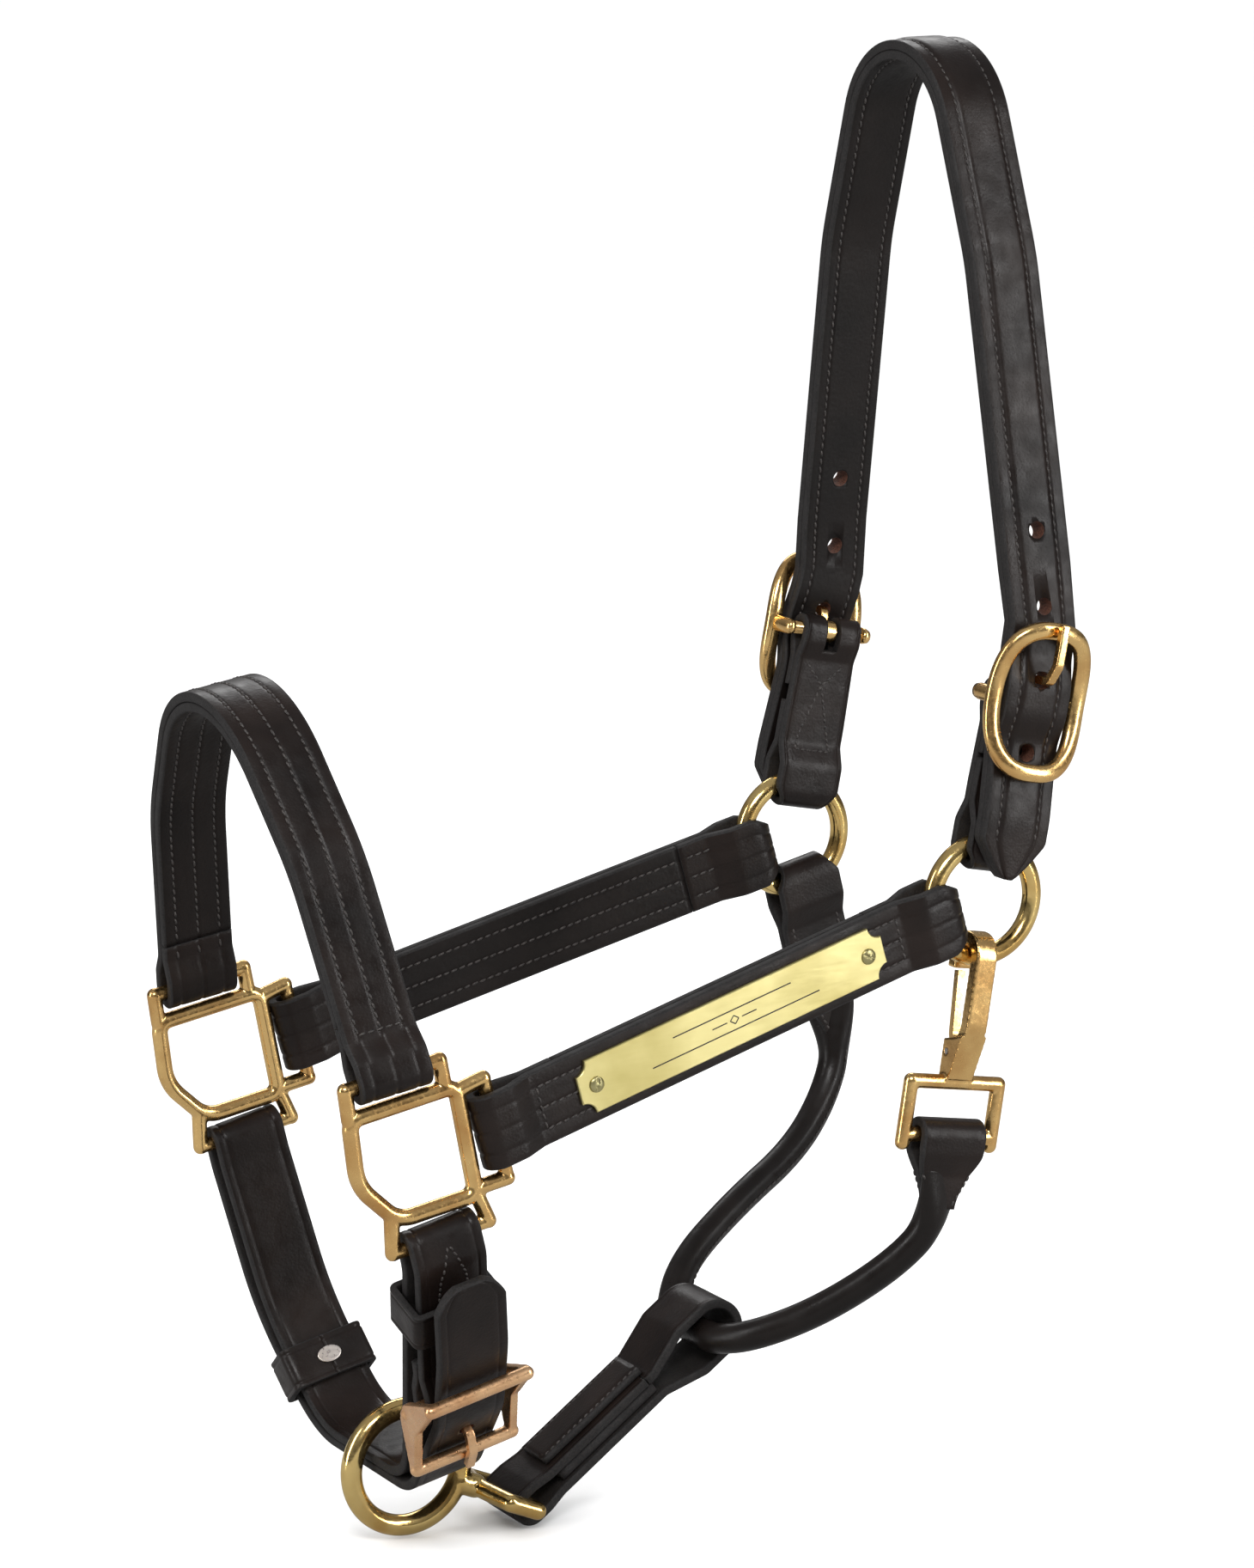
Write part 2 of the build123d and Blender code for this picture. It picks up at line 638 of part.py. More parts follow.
def snap():
    """A spring snap: hook, forked shank and square eye, with a sprung gate on a pin."""
    plane = spoke_plane("near", snap_direction)
    hook = band(plane, [(60, 0.6), (44, 6.7), (13.4, 6.7), (13.4, -6.7), (25, -6.7)], [14, 6.4, 6.4], 4.6, 8)

    def at(reach, height, across):
        return plane.from_local_coords(Vector(reach, height, across))

    with BuildPart() as fork:
        with BuildSketch(plane):
            Polygon((46, 8.2), (62, 3.2), (65, -3.2), (49, -3.4), align=None)
        extrude(amount=5, both=True)
    with BuildPart() as slot:
        with BuildSketch(plane):
            Polygon((41, 4.0), (57, 2.6), (57, -8), (41, -8), align=None)
        extrude(amount=2.4, both=True)
    body = hook + fork.part - slot.part
    body = body + rod(at(63.5, 0, -17.5), at(63.5, 0, 17.5), 2.6) + rod(at(82, 0, -17.5), at(82, 0, 17.5), 2.6)
    for edge in (-1, 1):
        body = body + rod(at(63.5, 0, edge * 17.5), at(85, 0, edge * 17.5), 2.6)
    with BuildPart() as pin_hole:
        with BuildSketch(plane):
            with Locations((53, -0.6)):
                Circle(1.05)
        extrude(amount=10, both=True)
    save(body - pin_hole.part, "snap_body")
    with BuildPart() as pin:
        with BuildSketch(plane):
            with Locations((53, -0.6)):
                Circle(1.0)
        extrude(amount=5, both=True)
    save(pin.part, "snap_gate_pin")
    with BuildPart() as gate:
        with BuildSketch(plane):
            with BuildLine():
                FilletPolyline((53, -0.6), (48, -4.8), (26, -6.9), radius=4)
            trace(line_width=2.6)
            with Locations((53, -0.6)):
                Circle(2.4)
        extrude(amount=1.4, both=True)
        with BuildSketch(plane):
            with Locations((53, -0.6)):
                Circle(1.05)
        extrude(amount=10, both=True, mode=Mode.SUBTRACT)
    save(gate.part, "snap_gate")
    with BuildPart() as spring:
        with BuildSketch(plane.offset(1.5)):
            with Locations((53, -0.6)):
                Circle(2.0)
                Circle(1.1, mode=Mode.SUBTRACT)
        extrude(amount=0.8)
    save(spring.part, "snap_gate_spring")


# ---- Nameplate ----

def nameplate(plane):
    """A blank brass plate with scooped corners, held by two domed screws."""
    plate_length = 124.0
    plate_width = 18.4
    plate_thick = 1.2
    screw_spacing = 110.8
    centre = 92.5
    seat = leather + layer_gap
    face = Plane(origin=plane.from_local_coords(Vector(centre, seat, 0)), x_dir=plane.x_dir, z_dir=plane.y_dir)
    with BuildPart() as plate:
        with BuildSketch(face):
            Rectangle(plate_length, plate_width)
            with GridLocations(plate_length, plate_width, 2, 2):
                Circle(4.4, mode=Mode.SUBTRACT)
            with GridLocations(screw_spacing, 0, 2, 1):
                Circle(1.3, mode=Mode.SUBTRACT)
        extrude(amount=plate_thick)
        chamfer(plate.faces().sort_by(Axis((0, 0, 0), face.z_dir))[-1].outer_wire().edges(), 0.3)
    save(plate.part, "nameplate")
    with BuildPart() as screws:
        with BuildSketch(face):
            with GridLocations(screw_spacing, 0, 2, 1):
                Circle(1.25)
        extrude(amount=plate_thick)
        with BuildSketch(face.offset(plate_thick)):
            with GridLocations(screw_spacing, 0, 2, 1):
                Circle(2.7)
        extrude(amount=1.3, taper=30)
    save(screws.part, "nameplate_screws")


for side in SIDES:
    upper_ring(side)
    halter_square(side)
    crown_buckle(side)
    crown_chape(side)
    tongue(
        f"{side}_crown_buckle_tongue", spoke_plane(side, crown_rise), (bar_reach[side], 0), centre_bar, 27.0, 20.7
    )
    cheek_plane, cheek_length = cheek(side)
    if side == "near":
        nameplate(cheek_plane)
crown_outer = crown_layer(lining / 2, leather)
save(crown_outer, "crown_strap")
save(crown_layer(-leather / 2, lining) - crown_outer, "crown_lining")
noseband()
chin_plane = chin_strap()
chin_buckle(chin_plane)
keeper("near_chin_keeper", chin_plane, (-68.8, -35), unit((-54, -55), (-72.5, -15)), 15.2, 14, 2.4)
far_way = unit((43, -108), (69, -71))
far_keeper_plane = keeper("far_chin_keeper", chin_plane, (54.6, -91.5), far_way, 12.6, 15, 2.4)
keeper_staple(far_keeper_plane, 12.6, 2.4)
ring_centre, ring_bar = throat_ring(chin_plane)
print("throat ring centre", ring_centre, "bar", ring_bar)
jaw_strap(ring_bar)
throat_latch()
snap()
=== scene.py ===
import math
import random

import bmesh
import bpy
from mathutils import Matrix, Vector


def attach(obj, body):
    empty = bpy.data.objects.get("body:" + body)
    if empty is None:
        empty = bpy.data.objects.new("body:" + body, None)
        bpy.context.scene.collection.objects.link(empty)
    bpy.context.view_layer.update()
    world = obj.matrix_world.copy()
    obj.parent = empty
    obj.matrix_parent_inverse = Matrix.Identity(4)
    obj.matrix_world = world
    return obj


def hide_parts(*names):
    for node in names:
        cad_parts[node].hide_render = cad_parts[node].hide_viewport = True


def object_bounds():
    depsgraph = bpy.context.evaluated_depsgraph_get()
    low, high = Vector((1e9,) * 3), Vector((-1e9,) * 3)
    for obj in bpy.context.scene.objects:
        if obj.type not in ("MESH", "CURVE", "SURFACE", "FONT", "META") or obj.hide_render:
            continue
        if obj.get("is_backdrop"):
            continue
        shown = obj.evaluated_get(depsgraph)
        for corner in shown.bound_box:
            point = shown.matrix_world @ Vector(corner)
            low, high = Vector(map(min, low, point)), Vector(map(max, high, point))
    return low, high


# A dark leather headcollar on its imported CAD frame. Every leather strap here is a finely meshed band
# that stands for its CAD solid. Lengths are millimetres in the CAD part's own planes, unless a comment
# says metres.

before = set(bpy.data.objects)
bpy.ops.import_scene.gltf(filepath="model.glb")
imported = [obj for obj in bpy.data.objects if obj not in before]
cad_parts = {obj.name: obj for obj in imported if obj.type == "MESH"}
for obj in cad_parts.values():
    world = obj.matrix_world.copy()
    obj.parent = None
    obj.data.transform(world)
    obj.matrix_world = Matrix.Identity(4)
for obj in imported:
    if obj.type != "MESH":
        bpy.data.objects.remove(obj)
cad_low, cad_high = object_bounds()
MM = 0.001
SIDES = {"near": -1, "far": 1}
random.seed(4)


# ---- Planes and paths, as in the CAD part ----

class Plane:
    """A flat plane of a strap's path: u and v lie in it, w is across the strap."""

    def __init__(self, origin, u_way, v_way):
        self.origin = Vector(origin)
        self.u = Vector(u_way).normalized()
        self.v = Vector(v_way).normalized()
        self.w = self.u.cross(self.v)

    def raw(self, u, v, w=0.0):
        """A place on the plane, in millimetres."""
        return self.origin + self.u * u + self.v * v + self.w * w

    def at(self, u, v, w=0.0):
        """The same place in metres."""
        return self.raw(u, v, w) * MM


def unit(start, end):
    length = math.hypot(end[0] - start[0], end[1] - start[1])
    return ((end[0] - start[0]) / length, (end[1] - start[1]) / length)


def step_from(point, along, distance, across=0.0):
    return (
        point[0] + along[0] * distance - along[1] * across,
        point[1] + along[1] * distance + along[0] * across,
    )


def turn_between(first, second):
    """The angle from one flat direction to another, to the left."""
    cross = first[0] * second[1] - first[1] * second[0]
    return math.atan2(cross, first[0] * second[0] + first[1] * second[1])


def spun(flat, angle):
    """A flat vector turned to the left."""
    c = math.cos(angle)
    s = math.sin(angle)
    return (flat[0] * c - flat[1] * s, flat[0] * s + flat[1] * c)


def parallel(points, radii, across):
    """A bent path's corners and radii, moved to its left by this much."""
    moved = [step_from(points[0], unit(points[0], points[1]), 0, across)]
    moved_radii = []
    for before, corner, after, radius in zip(points, points[1:], points[2:], radii):
        first = unit(before, corner)
        second = unit(corner, after)
        turn = turn_between(first, second)
        moved.append(step_from(corner, first, -across * math.tan(turn / 2), across))
        moved_radii.append(radius - across if turn > 0 else radius + across)
    moved.append(step_from(points[-1], unit(points[-2], points[-1]), 0, across))
    return moved, moved_radii


def fold(bar, along, half_gap, half_legs, tip, flare, leg):
    """Corners and radii of a strap that comes in on the right of a bar, goes round it and comes back."""
    stations = [(leg, -half_legs), (flare, -half_gap), (-tip, -half_gap)]
    stations += [(-tip, half_gap), (flare, half_gap), (leg, half_legs)]
    corners = [step_from(bar, along, distance, across) for distance, across in stations]
    return corners, [5.0, 4.0, half_gap - 0.05, half_gap - 0.05, 4.0, 5.0]


def bent_path(corners, radii, step=1.6):
    """Points, directions and distances along a path whose corners are rounded."""
    runs = []
    start = corners[0]
    for before, corner, after, radius in zip(corners, corners[1:], corners[2:], radii):
        first = unit(before, corner)
        second = unit(corner, after)
        turn = turn_between(first, second)
        tangent = radius * math.tan(abs(turn) / 2)
        arc_start = step_from(corner, first, -tangent)
        runs.append(("line", start, arc_start, 0, 0, first))
        side = 1 if turn > 0 else -1
        centre = step_from(arc_start, first, 0, side * radius)
        runs.append(("arc", arc_start, centre, radius, turn, first))
        start = step_from(corner, second, tangent)
    runs.append(("line", start, corners[-1], 0, 0, unit(corners[-2], corners[-1])))
    stations = []
    travelled = 0.0
    for kind, start, end, radius, turn, way in runs:
        if kind == "line":
            length = math.hypot(end[0] - start[0], end[1] - start[1])
            count = max(1, int(length / step))
            for index in range(count):
                share = index / count
                stations.append((step_from(start, way, length * share), way, travelled + length * share))
        else:
            length = radius * abs(turn)
            count = max(2, int(length / min(step, max(0.5, radius * 0.16))))
            for index in range(count):
                share = index / count
                offset = spun((start[0] - end[0], start[1] - end[1]), turn * share)
                point = (end[0] + offset[0], end[1] + offset[1])
                stations.append((point, spun(way, turn * share), travelled + length * share))
        travelled += length
    stations.append((corners[-1], runs[-1][5], travelled))
    return stations, travelled


def frames_of(plane, corners, radii, step=1.6, backwards=False):
    """3-D stations along a path in a plane: (point, way, outward, distance), in millimetres."""
    stations, length = bent_path(corners, radii, step)
    frames = []
    for point, way, distance in stations:
        along = (plane.u * way[0] + plane.v * way[1]).normalized()
        outward = (plane.v * way[0] - plane.u * way[1]).normalized()
        frames.append((plane.raw(*point), along, outward, distance))
    if backwards:
        frames = [(p, -along, outward, length - d) for p, along, outward, d in reversed(frames)]
    return frames


def turned_over(frames):
    """The same stations with the strap's face on the horse's side."""
    return [(point, along, -outward, distance) for point, along, outward, distance in frames]


def chained(*parts):
    """Joins runs of stations end to end, with distances measured anew."""
    frames = []
    travelled = 0.0
    for part in parts:
        for point, along, outward, _ in part:
            if frames:
                travelled += (point - frames[-1][0]).length
            frames.append((point, along, outward, travelled))
    return frames


def place_on(frames, distance):
    """The point, way and outward direction at a distance along stations."""
    distance = min(max(distance, frames[0][3]), frames[-1][3])
    low = 0
    high = len(frames) - 1
    while high - low > 1:
        middle = (low + high) // 2
        if frames[middle][3] <= distance:
            low = middle
        else:
            high = middle
    p, q = frames[low], frames[high]
    share = 0 if q[3] <= p[3] else (distance - p[3]) / (q[3] - p[3])
    return (
        p[0].lerp(q[0], share),
        p[1].lerp(q[1], share).normalized(),
        p[2].lerp(q[2], share).normalized(),
    )


def square_plane(side):
    """The plane of a brass square, tipped up by its pitch."""
    pitch = math.radians(11.0)
    return Plane((-220.5, SIDES[side] * 77.0, -60.0), (math.cos(pitch), 0, math.sin(pitch)),
                 (-math.sin(pitch), 0, math.cos(pitch)))


def ring_place(side):
    return Vector((0, SIDES[side] * 65.0, 0))


def spoke_plane(side, angle):
    """u out along a ring's spoke at this angle, v out from the horse."""
    out = (math.cos(math.radians(angle)), 0, math.sin(math.radians(angle)))
    return Plane(ring_place(side), out, (0, SIDES[side], 0))


def lean_plane(shift, height, lean):
    """A plane across the horse, leaning back from both squares."""
    pivot = square_plane("near").raw(shift, height)
    up = (-math.sin(math.radians(lean)), 0, math.cos(math.radians(lean)))
    return Plane((pivot.x, 0, pivot.z), (0, 1, 0), up)


# ---- Mesh builders ----

BOX_FACES = ((0, 1, 2, 3), (4, 5, 6, 7), (0, 1, 5, 4), (1, 2, 6, 5), (2, 3, 7, 6), (3, 0, 4, 7))


def circle_angles(count):
    return [math.pi * 2 * index / count for index in range(count)]


def skin(faces, base, rings, sides, capped=True):
    """Adds the faces between rings of points numbered from base, and over the two ends."""
    for ring in range(rings - 1):
        for index in range(sides):
            a = base + ring * sides + index
            b = base + ring * sides + (index + 1) % sides
            faces.append((a, b, b + sides, a + sides))
    if capped:
        last = base + (rings - 1) * sides
        faces.append(tuple(base + index for index in reversed(range(sides))))
        faces.append(tuple(last + index for index in range(sides)))


def new_mesh(name, points, faces, materials, smooth=True, marks=None):
    mesh = bpy.data.meshes.new(name)
    mesh.from_pydata([tuple(p) for p in points], [], faces)
    for material in materials:
        mesh.materials.append(material)
    if marks:
        mesh.polygons.foreach_set("material_index", marks)
    if smooth:
        mesh.polygons.foreach_set("use_smooth", [True] * len(mesh.polygons))
    mesh.validate()
    build = bmesh.new()
    build.from_mesh(mesh)
    bmesh.ops.recalc_face_normals(build, faces=build.faces)
    build.to_mesh(mesh)
    build.free()
    mesh.update()
    piece = bpy.data.objects.new(name, mesh)
    bpy.context.scene.collection.objects.link(piece)
    return piece


def section(width, thickness, rows=(), creases=(), crown=0.0, crown_half=0.0, edge=0.75):
    """Cross-section of a strap as (across, up, part) from the face's one edge round to its back.

    rows are stitch rows' distances from the middle, sunk in grooves, and creases are pressed lines.
    crown raises the middle of the face, out to crown_half. part is 0 on the face, 1 on the sides and 2
    beneath.
    """
    half_width = width / 2
    half = thickness / 2
    across = []
    for row in rows:
        across += [row + shift for shift in (-1.3, -0.65, 0.0, 0.65, 1.3)]
    for crease in creases:
        across += [crease + shift for shift in (-0.9, -0.35, 0.0, 0.35, 0.9)]
    if crown:
        for shift in (-2.0, -1.2, -0.5, 0.2, 1.0):
            across += [crown_half + shift, -crown_half - shift]
    reach = half_width - edge
    across += [-reach + 2 * reach * index / 14 for index in range(15)]
    thin = []
    for value in sorted(a for a in across if abs(a) <= reach + 1e-6):
        if not thin or value - thin[-1] > 0.25:
            thin.append(value)
    thin[0] = -reach
    thin[-1] = reach

    def height(a):
        dip = sum(0.36 * math.exp(-(((a - row) / 0.55) ** 2)) for row in rows)
        dip += sum(0.3 * math.exp(-(((a - crease) / 0.35) ** 2)) for crease in creases)
        lift = crown / (1 + math.exp(-2.2 * (crown_half - abs(a)))) if crown else 0.0
        return half - dip + lift

    top = [(a, height(a), 0) for a in thin]
    right = []
    for index in range(1, 5):
        angle = math.radians(90 * index / 4)
        right.append((reach + edge * math.sin(angle), half - edge + edge * math.cos(angle), 1))
    right.append((half_width, -half + edge, 1))
    for index in range(1, 4):
        angle = math.radians(90 * index / 4)
        right.append((reach + edge * math.cos(angle), -half + edge - edge * math.sin(angle), 1))
    left = [(-a, b, 1) for a, b, _ in reversed(right)]
    under = [(reach - 2 * reach * index / 8, -half, 2) for index in range(9)]
    return top + right + under + left


def strap(name, frames, thickness, width, materials, half_width=None, **shape):
    """A strap mesh along stations. materials are its face, side and back.

    half_width(point, distance) narrows it.
    """
    profile = section(width, thickness, **shape)
    points = []
    for point, along, outward, distance in frames:
        sideways = along.cross(outward)
        share = 1.0
        if half_width:
            share = min(1.0, half_width(point, distance) / (width / 2))
        for across, up, _ in profile:
            points.append((point + outward * up + sideways * (across * share)) * MM)
    ring = len(profile)
    faces = []
    marks = []
    for index in range(len(frames) - 1):
        for j in range(ring):
            a = index * ring + j
            b = index * ring + (j + 1) % ring
            faces.append((a, b, b + ring, a + ring))
            same = profile[j][2] == profile[(j + 1) % ring][2]
            marks.append(profile[j][2] if same else 1)
    for start, turned in ((0, True), ((len(frames) - 1) * ring, False)):
        cap = tuple(range(start, start + ring))
        faces.append(tuple(reversed(cap)) if turned else cap)
        marks.append(1)
    return new_mesh(name, points, faces, materials, marks=marks)


def stitch_row(points, faces, spots):
    """Adds one bent pad of thread for each spot, all in metres.

    A spot is (centre, along, out, side, length, width, height).
    """
    pad_rings = ((-1.0, 0.25), (-0.72, 0.85), (0.0, 1.0), (0.72, 0.85), (1.0, 0.25))
    for centre, along, out, side, long, wide, tall in spots:
        base = len(points)
        for share, girth in pad_rings:
            rise = tall * (1 - 0.75 * share * share)
            middle = centre + along * (long * 0.5 * share) + out * (rise * 0.45 - tall * 0.35)
            for angle in circle_angles(6):
                sideways = side * (math.cos(angle) * wide * 0.5 * girth)
                points.append(middle + sideways + out * (math.sin(angle) * tall * 0.5 * girth))
        skin(faces, base, len(pad_rings), 6)


def stitches_on(frames, lines, thickness, pitch=3.0, sunk=0.2, under=False):
    """Stitch spots for lines drawn on a strap. Each line is a list of (distance, across) points."""
    thread_width = 0.95 * MM
    thread_height = 0.85 * MM
    spots = []
    for line in lines:
        for (d0, a0), (d1, a1) in zip(line, line[1:]):
            run = math.hypot(d1 - d0, a1 - a0)
            count = max(1, round(run / pitch))
            for index in range(count):
                share = (index + 0.5) / count
                point, along, outward = place_on(frames, d0 + (d1 - d0) * share)
                sideways = along.cross(outward)
                out = -outward if under else outward
                centre = point + sideways * (a0 + (a1 - a0) * share)
                centre = centre + out * (thickness / 2 - sunk)
                heading = (along * (d1 - d0) + sideways * (a1 - a0)).normalized()
                skew = (heading + out.cross(heading) * random.uniform(0.10, 0.2)).normalized()
                across = out.cross(skew).normalized()
                long = run / count * 0.84 * MM
                spots.append((centre * MM, skew, out, across, long, thread_width, thread_height))
    return spots


def finish_piece(piece, body, slot_name, *replaced):
    """Attaches a piece to the body that it rides on and hides the CAD nodes that it stands for. slot_name is
    not used.
    """
    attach(piece, body)
    if replaced:
        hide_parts(*replaced)


def stitch_piece(name, spot_lists, body):
    points = []
    faces = []
    for spots in spot_lists:
        stitch_row(points, faces, spots)
    finish_piece(new_mesh(name, points, faces, [THREAD_PAINTED_SHEEN]), body, "leather")


# ---- Materials ----

def begin(name):
    material = bpy.data.materials.new(name)
    material.use_nodes = True
    nodes = material.node_tree.nodes
    return material, nodes, material.node_tree.links, nodes["Principled BSDF"]


def noise(nodes, links, where, scale, detail=3.0, stretch=None):
    """A noise texture on the object's own coordinates, stretched by these factors if given."""
    source = where
    if stretch:
        mapping = nodes.new("ShaderNodeMapping")
        mapping.inputs["Scale"].default_value = stretch
        links.new(where, mapping.inputs["Vector"])
        source = mapping.outputs["Vector"]
    texture = nodes.new("ShaderNodeTexNoise")
    texture.inputs["Scale"].default_value = scale
    texture.inputs["Detail"].default_value = detail
    links.new(source, texture.inputs["Vector"])
    return texture.outputs["Fac"]


def ramp(nodes, links, source, stops):
    node = nodes.new("ShaderNodeValToRGB")
    elements = node.color_ramp.elements
    elements[0].position, elements[0].color = stops[0][0], (*stops[0][1], 1)
    elements[1].position, elements[1].color = stops[-1][0], (*stops[-1][1], 1)
    for position, colour in stops[1:-1]:
        element = elements.new(position)
        element.color = (*colour, 1)
    links.new(source, node.inputs["Fac"])
    return node.outputs["Color"]


def spread(nodes, links, source, low, high, start=0.3, end=0.7):
    node = nodes.new("ShaderNodeMapRange")
    node.inputs["From Min"].default_value = start
    node.inputs["From Max"].default_value = end
    node.inputs["To Min"].default_value = low
    node.inputs["To Max"].default_value = high
    links.new(source, node.inputs["Value"])
    return node.outputs["Result"]


def bumps(nodes, links, shader, layers):
    """Stacks bump layers of (height, strength, distance in metres) on a shader's normal."""
    last = None
    for height, strength, distance in layers:
        node = nodes.new("ShaderNodeBump")
        node.inputs["Strength"].default_value = strength
        node.inputs["Distance"].default_value = distance
        links.new(height, node.inputs["Height"])
        if last:
            links.new(last, node.inputs["Normal"])
        last = node.outputs["Normal"]
    links.new(last, shader.inputs["Normal"])


def leather(name, dark, light, rough, grain=0.22, grain_scale=1150.0):
    """Waxed leather: pebbled grain, fine pores, slow creases, and patches of other colour and gloss."""
    material, nodes, links, shader = begin(name)
    where = nodes.new("ShaderNodeTexCoord").outputs["Object"]
    patches = noise(nodes, links, where, 38.0, 4.0)
    fine = noise(nodes, links, where, 1900.0, 2.0)
    folds = noise(nodes, links, where, 160.0, 5.0)
    pebble = nodes.new("ShaderNodeTexVoronoi")
    pebble.feature = "SMOOTH_F1"
    pebble.inputs["Scale"].default_value = grain_scale
    links.new(where, pebble.inputs["Vector"])
    middle = tuple((a + b) / 2 for a, b in zip(dark, light))
    stain = ramp(nodes, links, patches, [(0.3, dark), (0.52, middle), (0.72, light)])
    links.new(stain, shader.inputs["Base Color"])
    links.new(spread(nodes, links, folds, rough - 0.07, rough + 0.1), shader.inputs["Roughness"])
    bumps(nodes, links, shader, [
        (folds, 0.35, 0.0004),
        (pebble.outputs["Distance"], grain, 0.00022),
        (fine, 0.12, 0.00006),
    ])
    shader.inputs["Specular IOR Level"].default_value = 0.24
    return material


def fibres(name, dark, light, rough=0.75):
    """The cut side or flesh side of leather: matt, fuzzy and streaked."""
    material, nodes, links, shader = begin(name)
    where = nodes.new("ShaderNodeTexCoord").outputs["Object"]
    fuzz = noise(nodes, links, where, 1500.0, 6.0)
    patches = noise(nodes, links, where, 120.0, 3.0)
    links.new(ramp(nodes, links, fuzz, [(0.35, dark), (0.7, light)]), shader.inputs["Base Color"])
    links.new(spread(nodes, links, patches, rough - 0.08, rough + 0.1), shader.inputs["Roughness"])
    bumps(nodes, links, shader, [(patches, 0.4, 0.0005), (fuzz, 0.5, 0.0003)])
    return material


def metal(name, deep, bright, rough, cast=0.25, stretch=None, scale=60.0):
    """Cast or sheet metal with tarnish in patches, fine scratches and a slightly uneven surface."""
    material, nodes, links, shader = begin(name)
    where = nodes.new("ShaderNodeTexCoord").outputs["Object"]
    patches = noise(nodes, links, where, scale, 4.0)
    scratch = noise(nodes, links, where, 900.0, 3.0, stretch or (1.0, 1.0, 1.0))
    wave = noise(nodes, links, where, 170.0, 2.0)
    links.new(ramp(nodes, links, patches, [(0.28, deep), (0.6, bright)]), shader.inputs["Base Color"])
    links.new(spread(nodes, links, scratch, rough - 0.05, rough + 0.09), shader.inputs["Roughness"])
    bumps(nodes, links, shader, [(wave, cast, 0.0005), (scratch, 0.1, 0.00004)])
    shader.inputs["Metallic"].default_value = 1.0
    return material


STRAP = leather("strap_leather", (0.0045, 0.0028, 0.0023), (0.0140, 0.0088, 0.0070), 0.36)
LINING = leather("lining_leather", (0.0035, 0.0023, 0.0019), (0.0090, 0.0060, 0.0050), 0.42,
                 0.3, 800.0)
ROLLED = leather("rolled_leather", (0.0045, 0.0034, 0.0030), (0.0100, 0.0074, 0.0064), 0.32,
                 0.15, 1300.0)
SIDE = fibres("leather_side", (0.0022, 0.0018, 0.0017), (0.013, 0.010, 0.0095))
FLESH = fibres("leather_back", (0.005, 0.0036, 0.003), (0.016, 0.0115, 0.0095), 0.8)
HOLE = fibres("hole_wall", (0.05, 0.017, 0.009), (0.15, 0.055, 0.03), 0.8)
# Black thread: its darkest tone is its own colour, and its lighter tones are a painted sheen that stands in
# for the highlights on it.
THREAD_PAINTED_SHEEN = fibres("waxed_thread_painted_sheen", (0.010, 0.0085, 0.008), (0.055, 0.046, 0.042), 0.45)
BRASS = metal("cast_brass", (0.62, 0.33, 0.11), (0.90, 0.60, 0.24), 0.2)
RING_BRASS = metal("ring_brass", (0.66, 0.40, 0.12), (0.92, 0.68, 0.27), 0.15, 0.15)
BUCKLE_BRASS = metal("buckle_brass", (0.70, 0.36, 0.17), (0.94, 0.60, 0.33), 0.3, 0.12)
PLATE = metal("plate_brass", (0.52, 0.44, 0.16), (0.78, 0.69, 0.32), 0.4, 0.05, (0.12, 1.0, 1.0), 25.0)
SCREW = metal("screw_brass", (0.22, 0.19, 0.09), (0.50, 0.45, 0.22), 0.32)
INK = fibres("engraving_fill", (0.006, 0.005, 0.004), (0.03, 0.026, 0.018), 0.6)
STAPLE = metal("staple_plating", (0.62, 0.54, 0.47), (0.86, 0.79, 0.73), 0.3)
STEEL = metal("spring_steel", (0.35, 0.34, 0.33), (0.62, 0.61, 0.6), 0.3)
LEATHERS = [STRAP, SIDE, FLESH]
LININGS = [LINING, SIDE, FLESH]


def dress(node, material, voxel=0.0, rounds=0):
    """Gives a CAD node its material, and blends its joins as casting does if given a voxel in metres."""
    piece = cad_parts[node]
    piece.data.materials.clear()
    piece.data.materials.append(material)
    if not voxel:
        return
    grid = piece.modifiers.new("cast_grid", "REMESH")
    grid.mode = "VOXEL"
    grid.voxel_size = voxel
    grid.use_smooth_shade = True
    smooth = piece.modifiers.new("cast_smooth", "SMOOTH")
    smooth.factor = 0.5
    smooth.iterations = rounds


for side in SIDES:
    dress(f"{side}_upper_ring", RING_BRASS)
    dress(f"{side}_halter_square", BRASS, 0.00042, 8)
    dress(f"{side}_crown_buckle_tongue", BRASS, 0.0003, 4)
dress("throat_ring", RING_BRASS, 0.00045, 9)
dress("chin_buckle_frame", BUCKLE_BRASS, 0.0004, 9)
dress("chin_buckle_tongue", BUCKLE_BRASS, 0.0003, 4)
dress("snap_body", BRASS, 0.00038, 7)
dress("snap_gate", BRASS)
dress("snap_gate_pin", STEEL)
dress("snap_gate_spring", STEEL)
dress("nameplate", PLATE)
dress("far_chin_keeper_staple", STAPLE, 0.00018, 4)


# ---- Crown: strap, lining, holes and stitches ----

WIDTH = 25.4
LEATHER = 3.4
LINED = 3.2
CHAPE = 3.0
GAP = 0.1
HOLE_RADIUS = 2.95
RING_REACH = 19.75
RING_WIRE = 3.25
BAR_REACH = {"near": 70.0, "far": 74.0}
CROWN_ANGLE = 79.0
CROWN_LEAN = math.radians(1.35)
CROWN_FOOT = 20.07
BILLET_TIP = 9.0
crown_up = (-math.sin(CROWN_LEAN), 0, math.cos(CROWN_LEAN))
crown_plane = Plane((CROWN_FOOT, 0, 0), (0, 1, 0), crown_up)


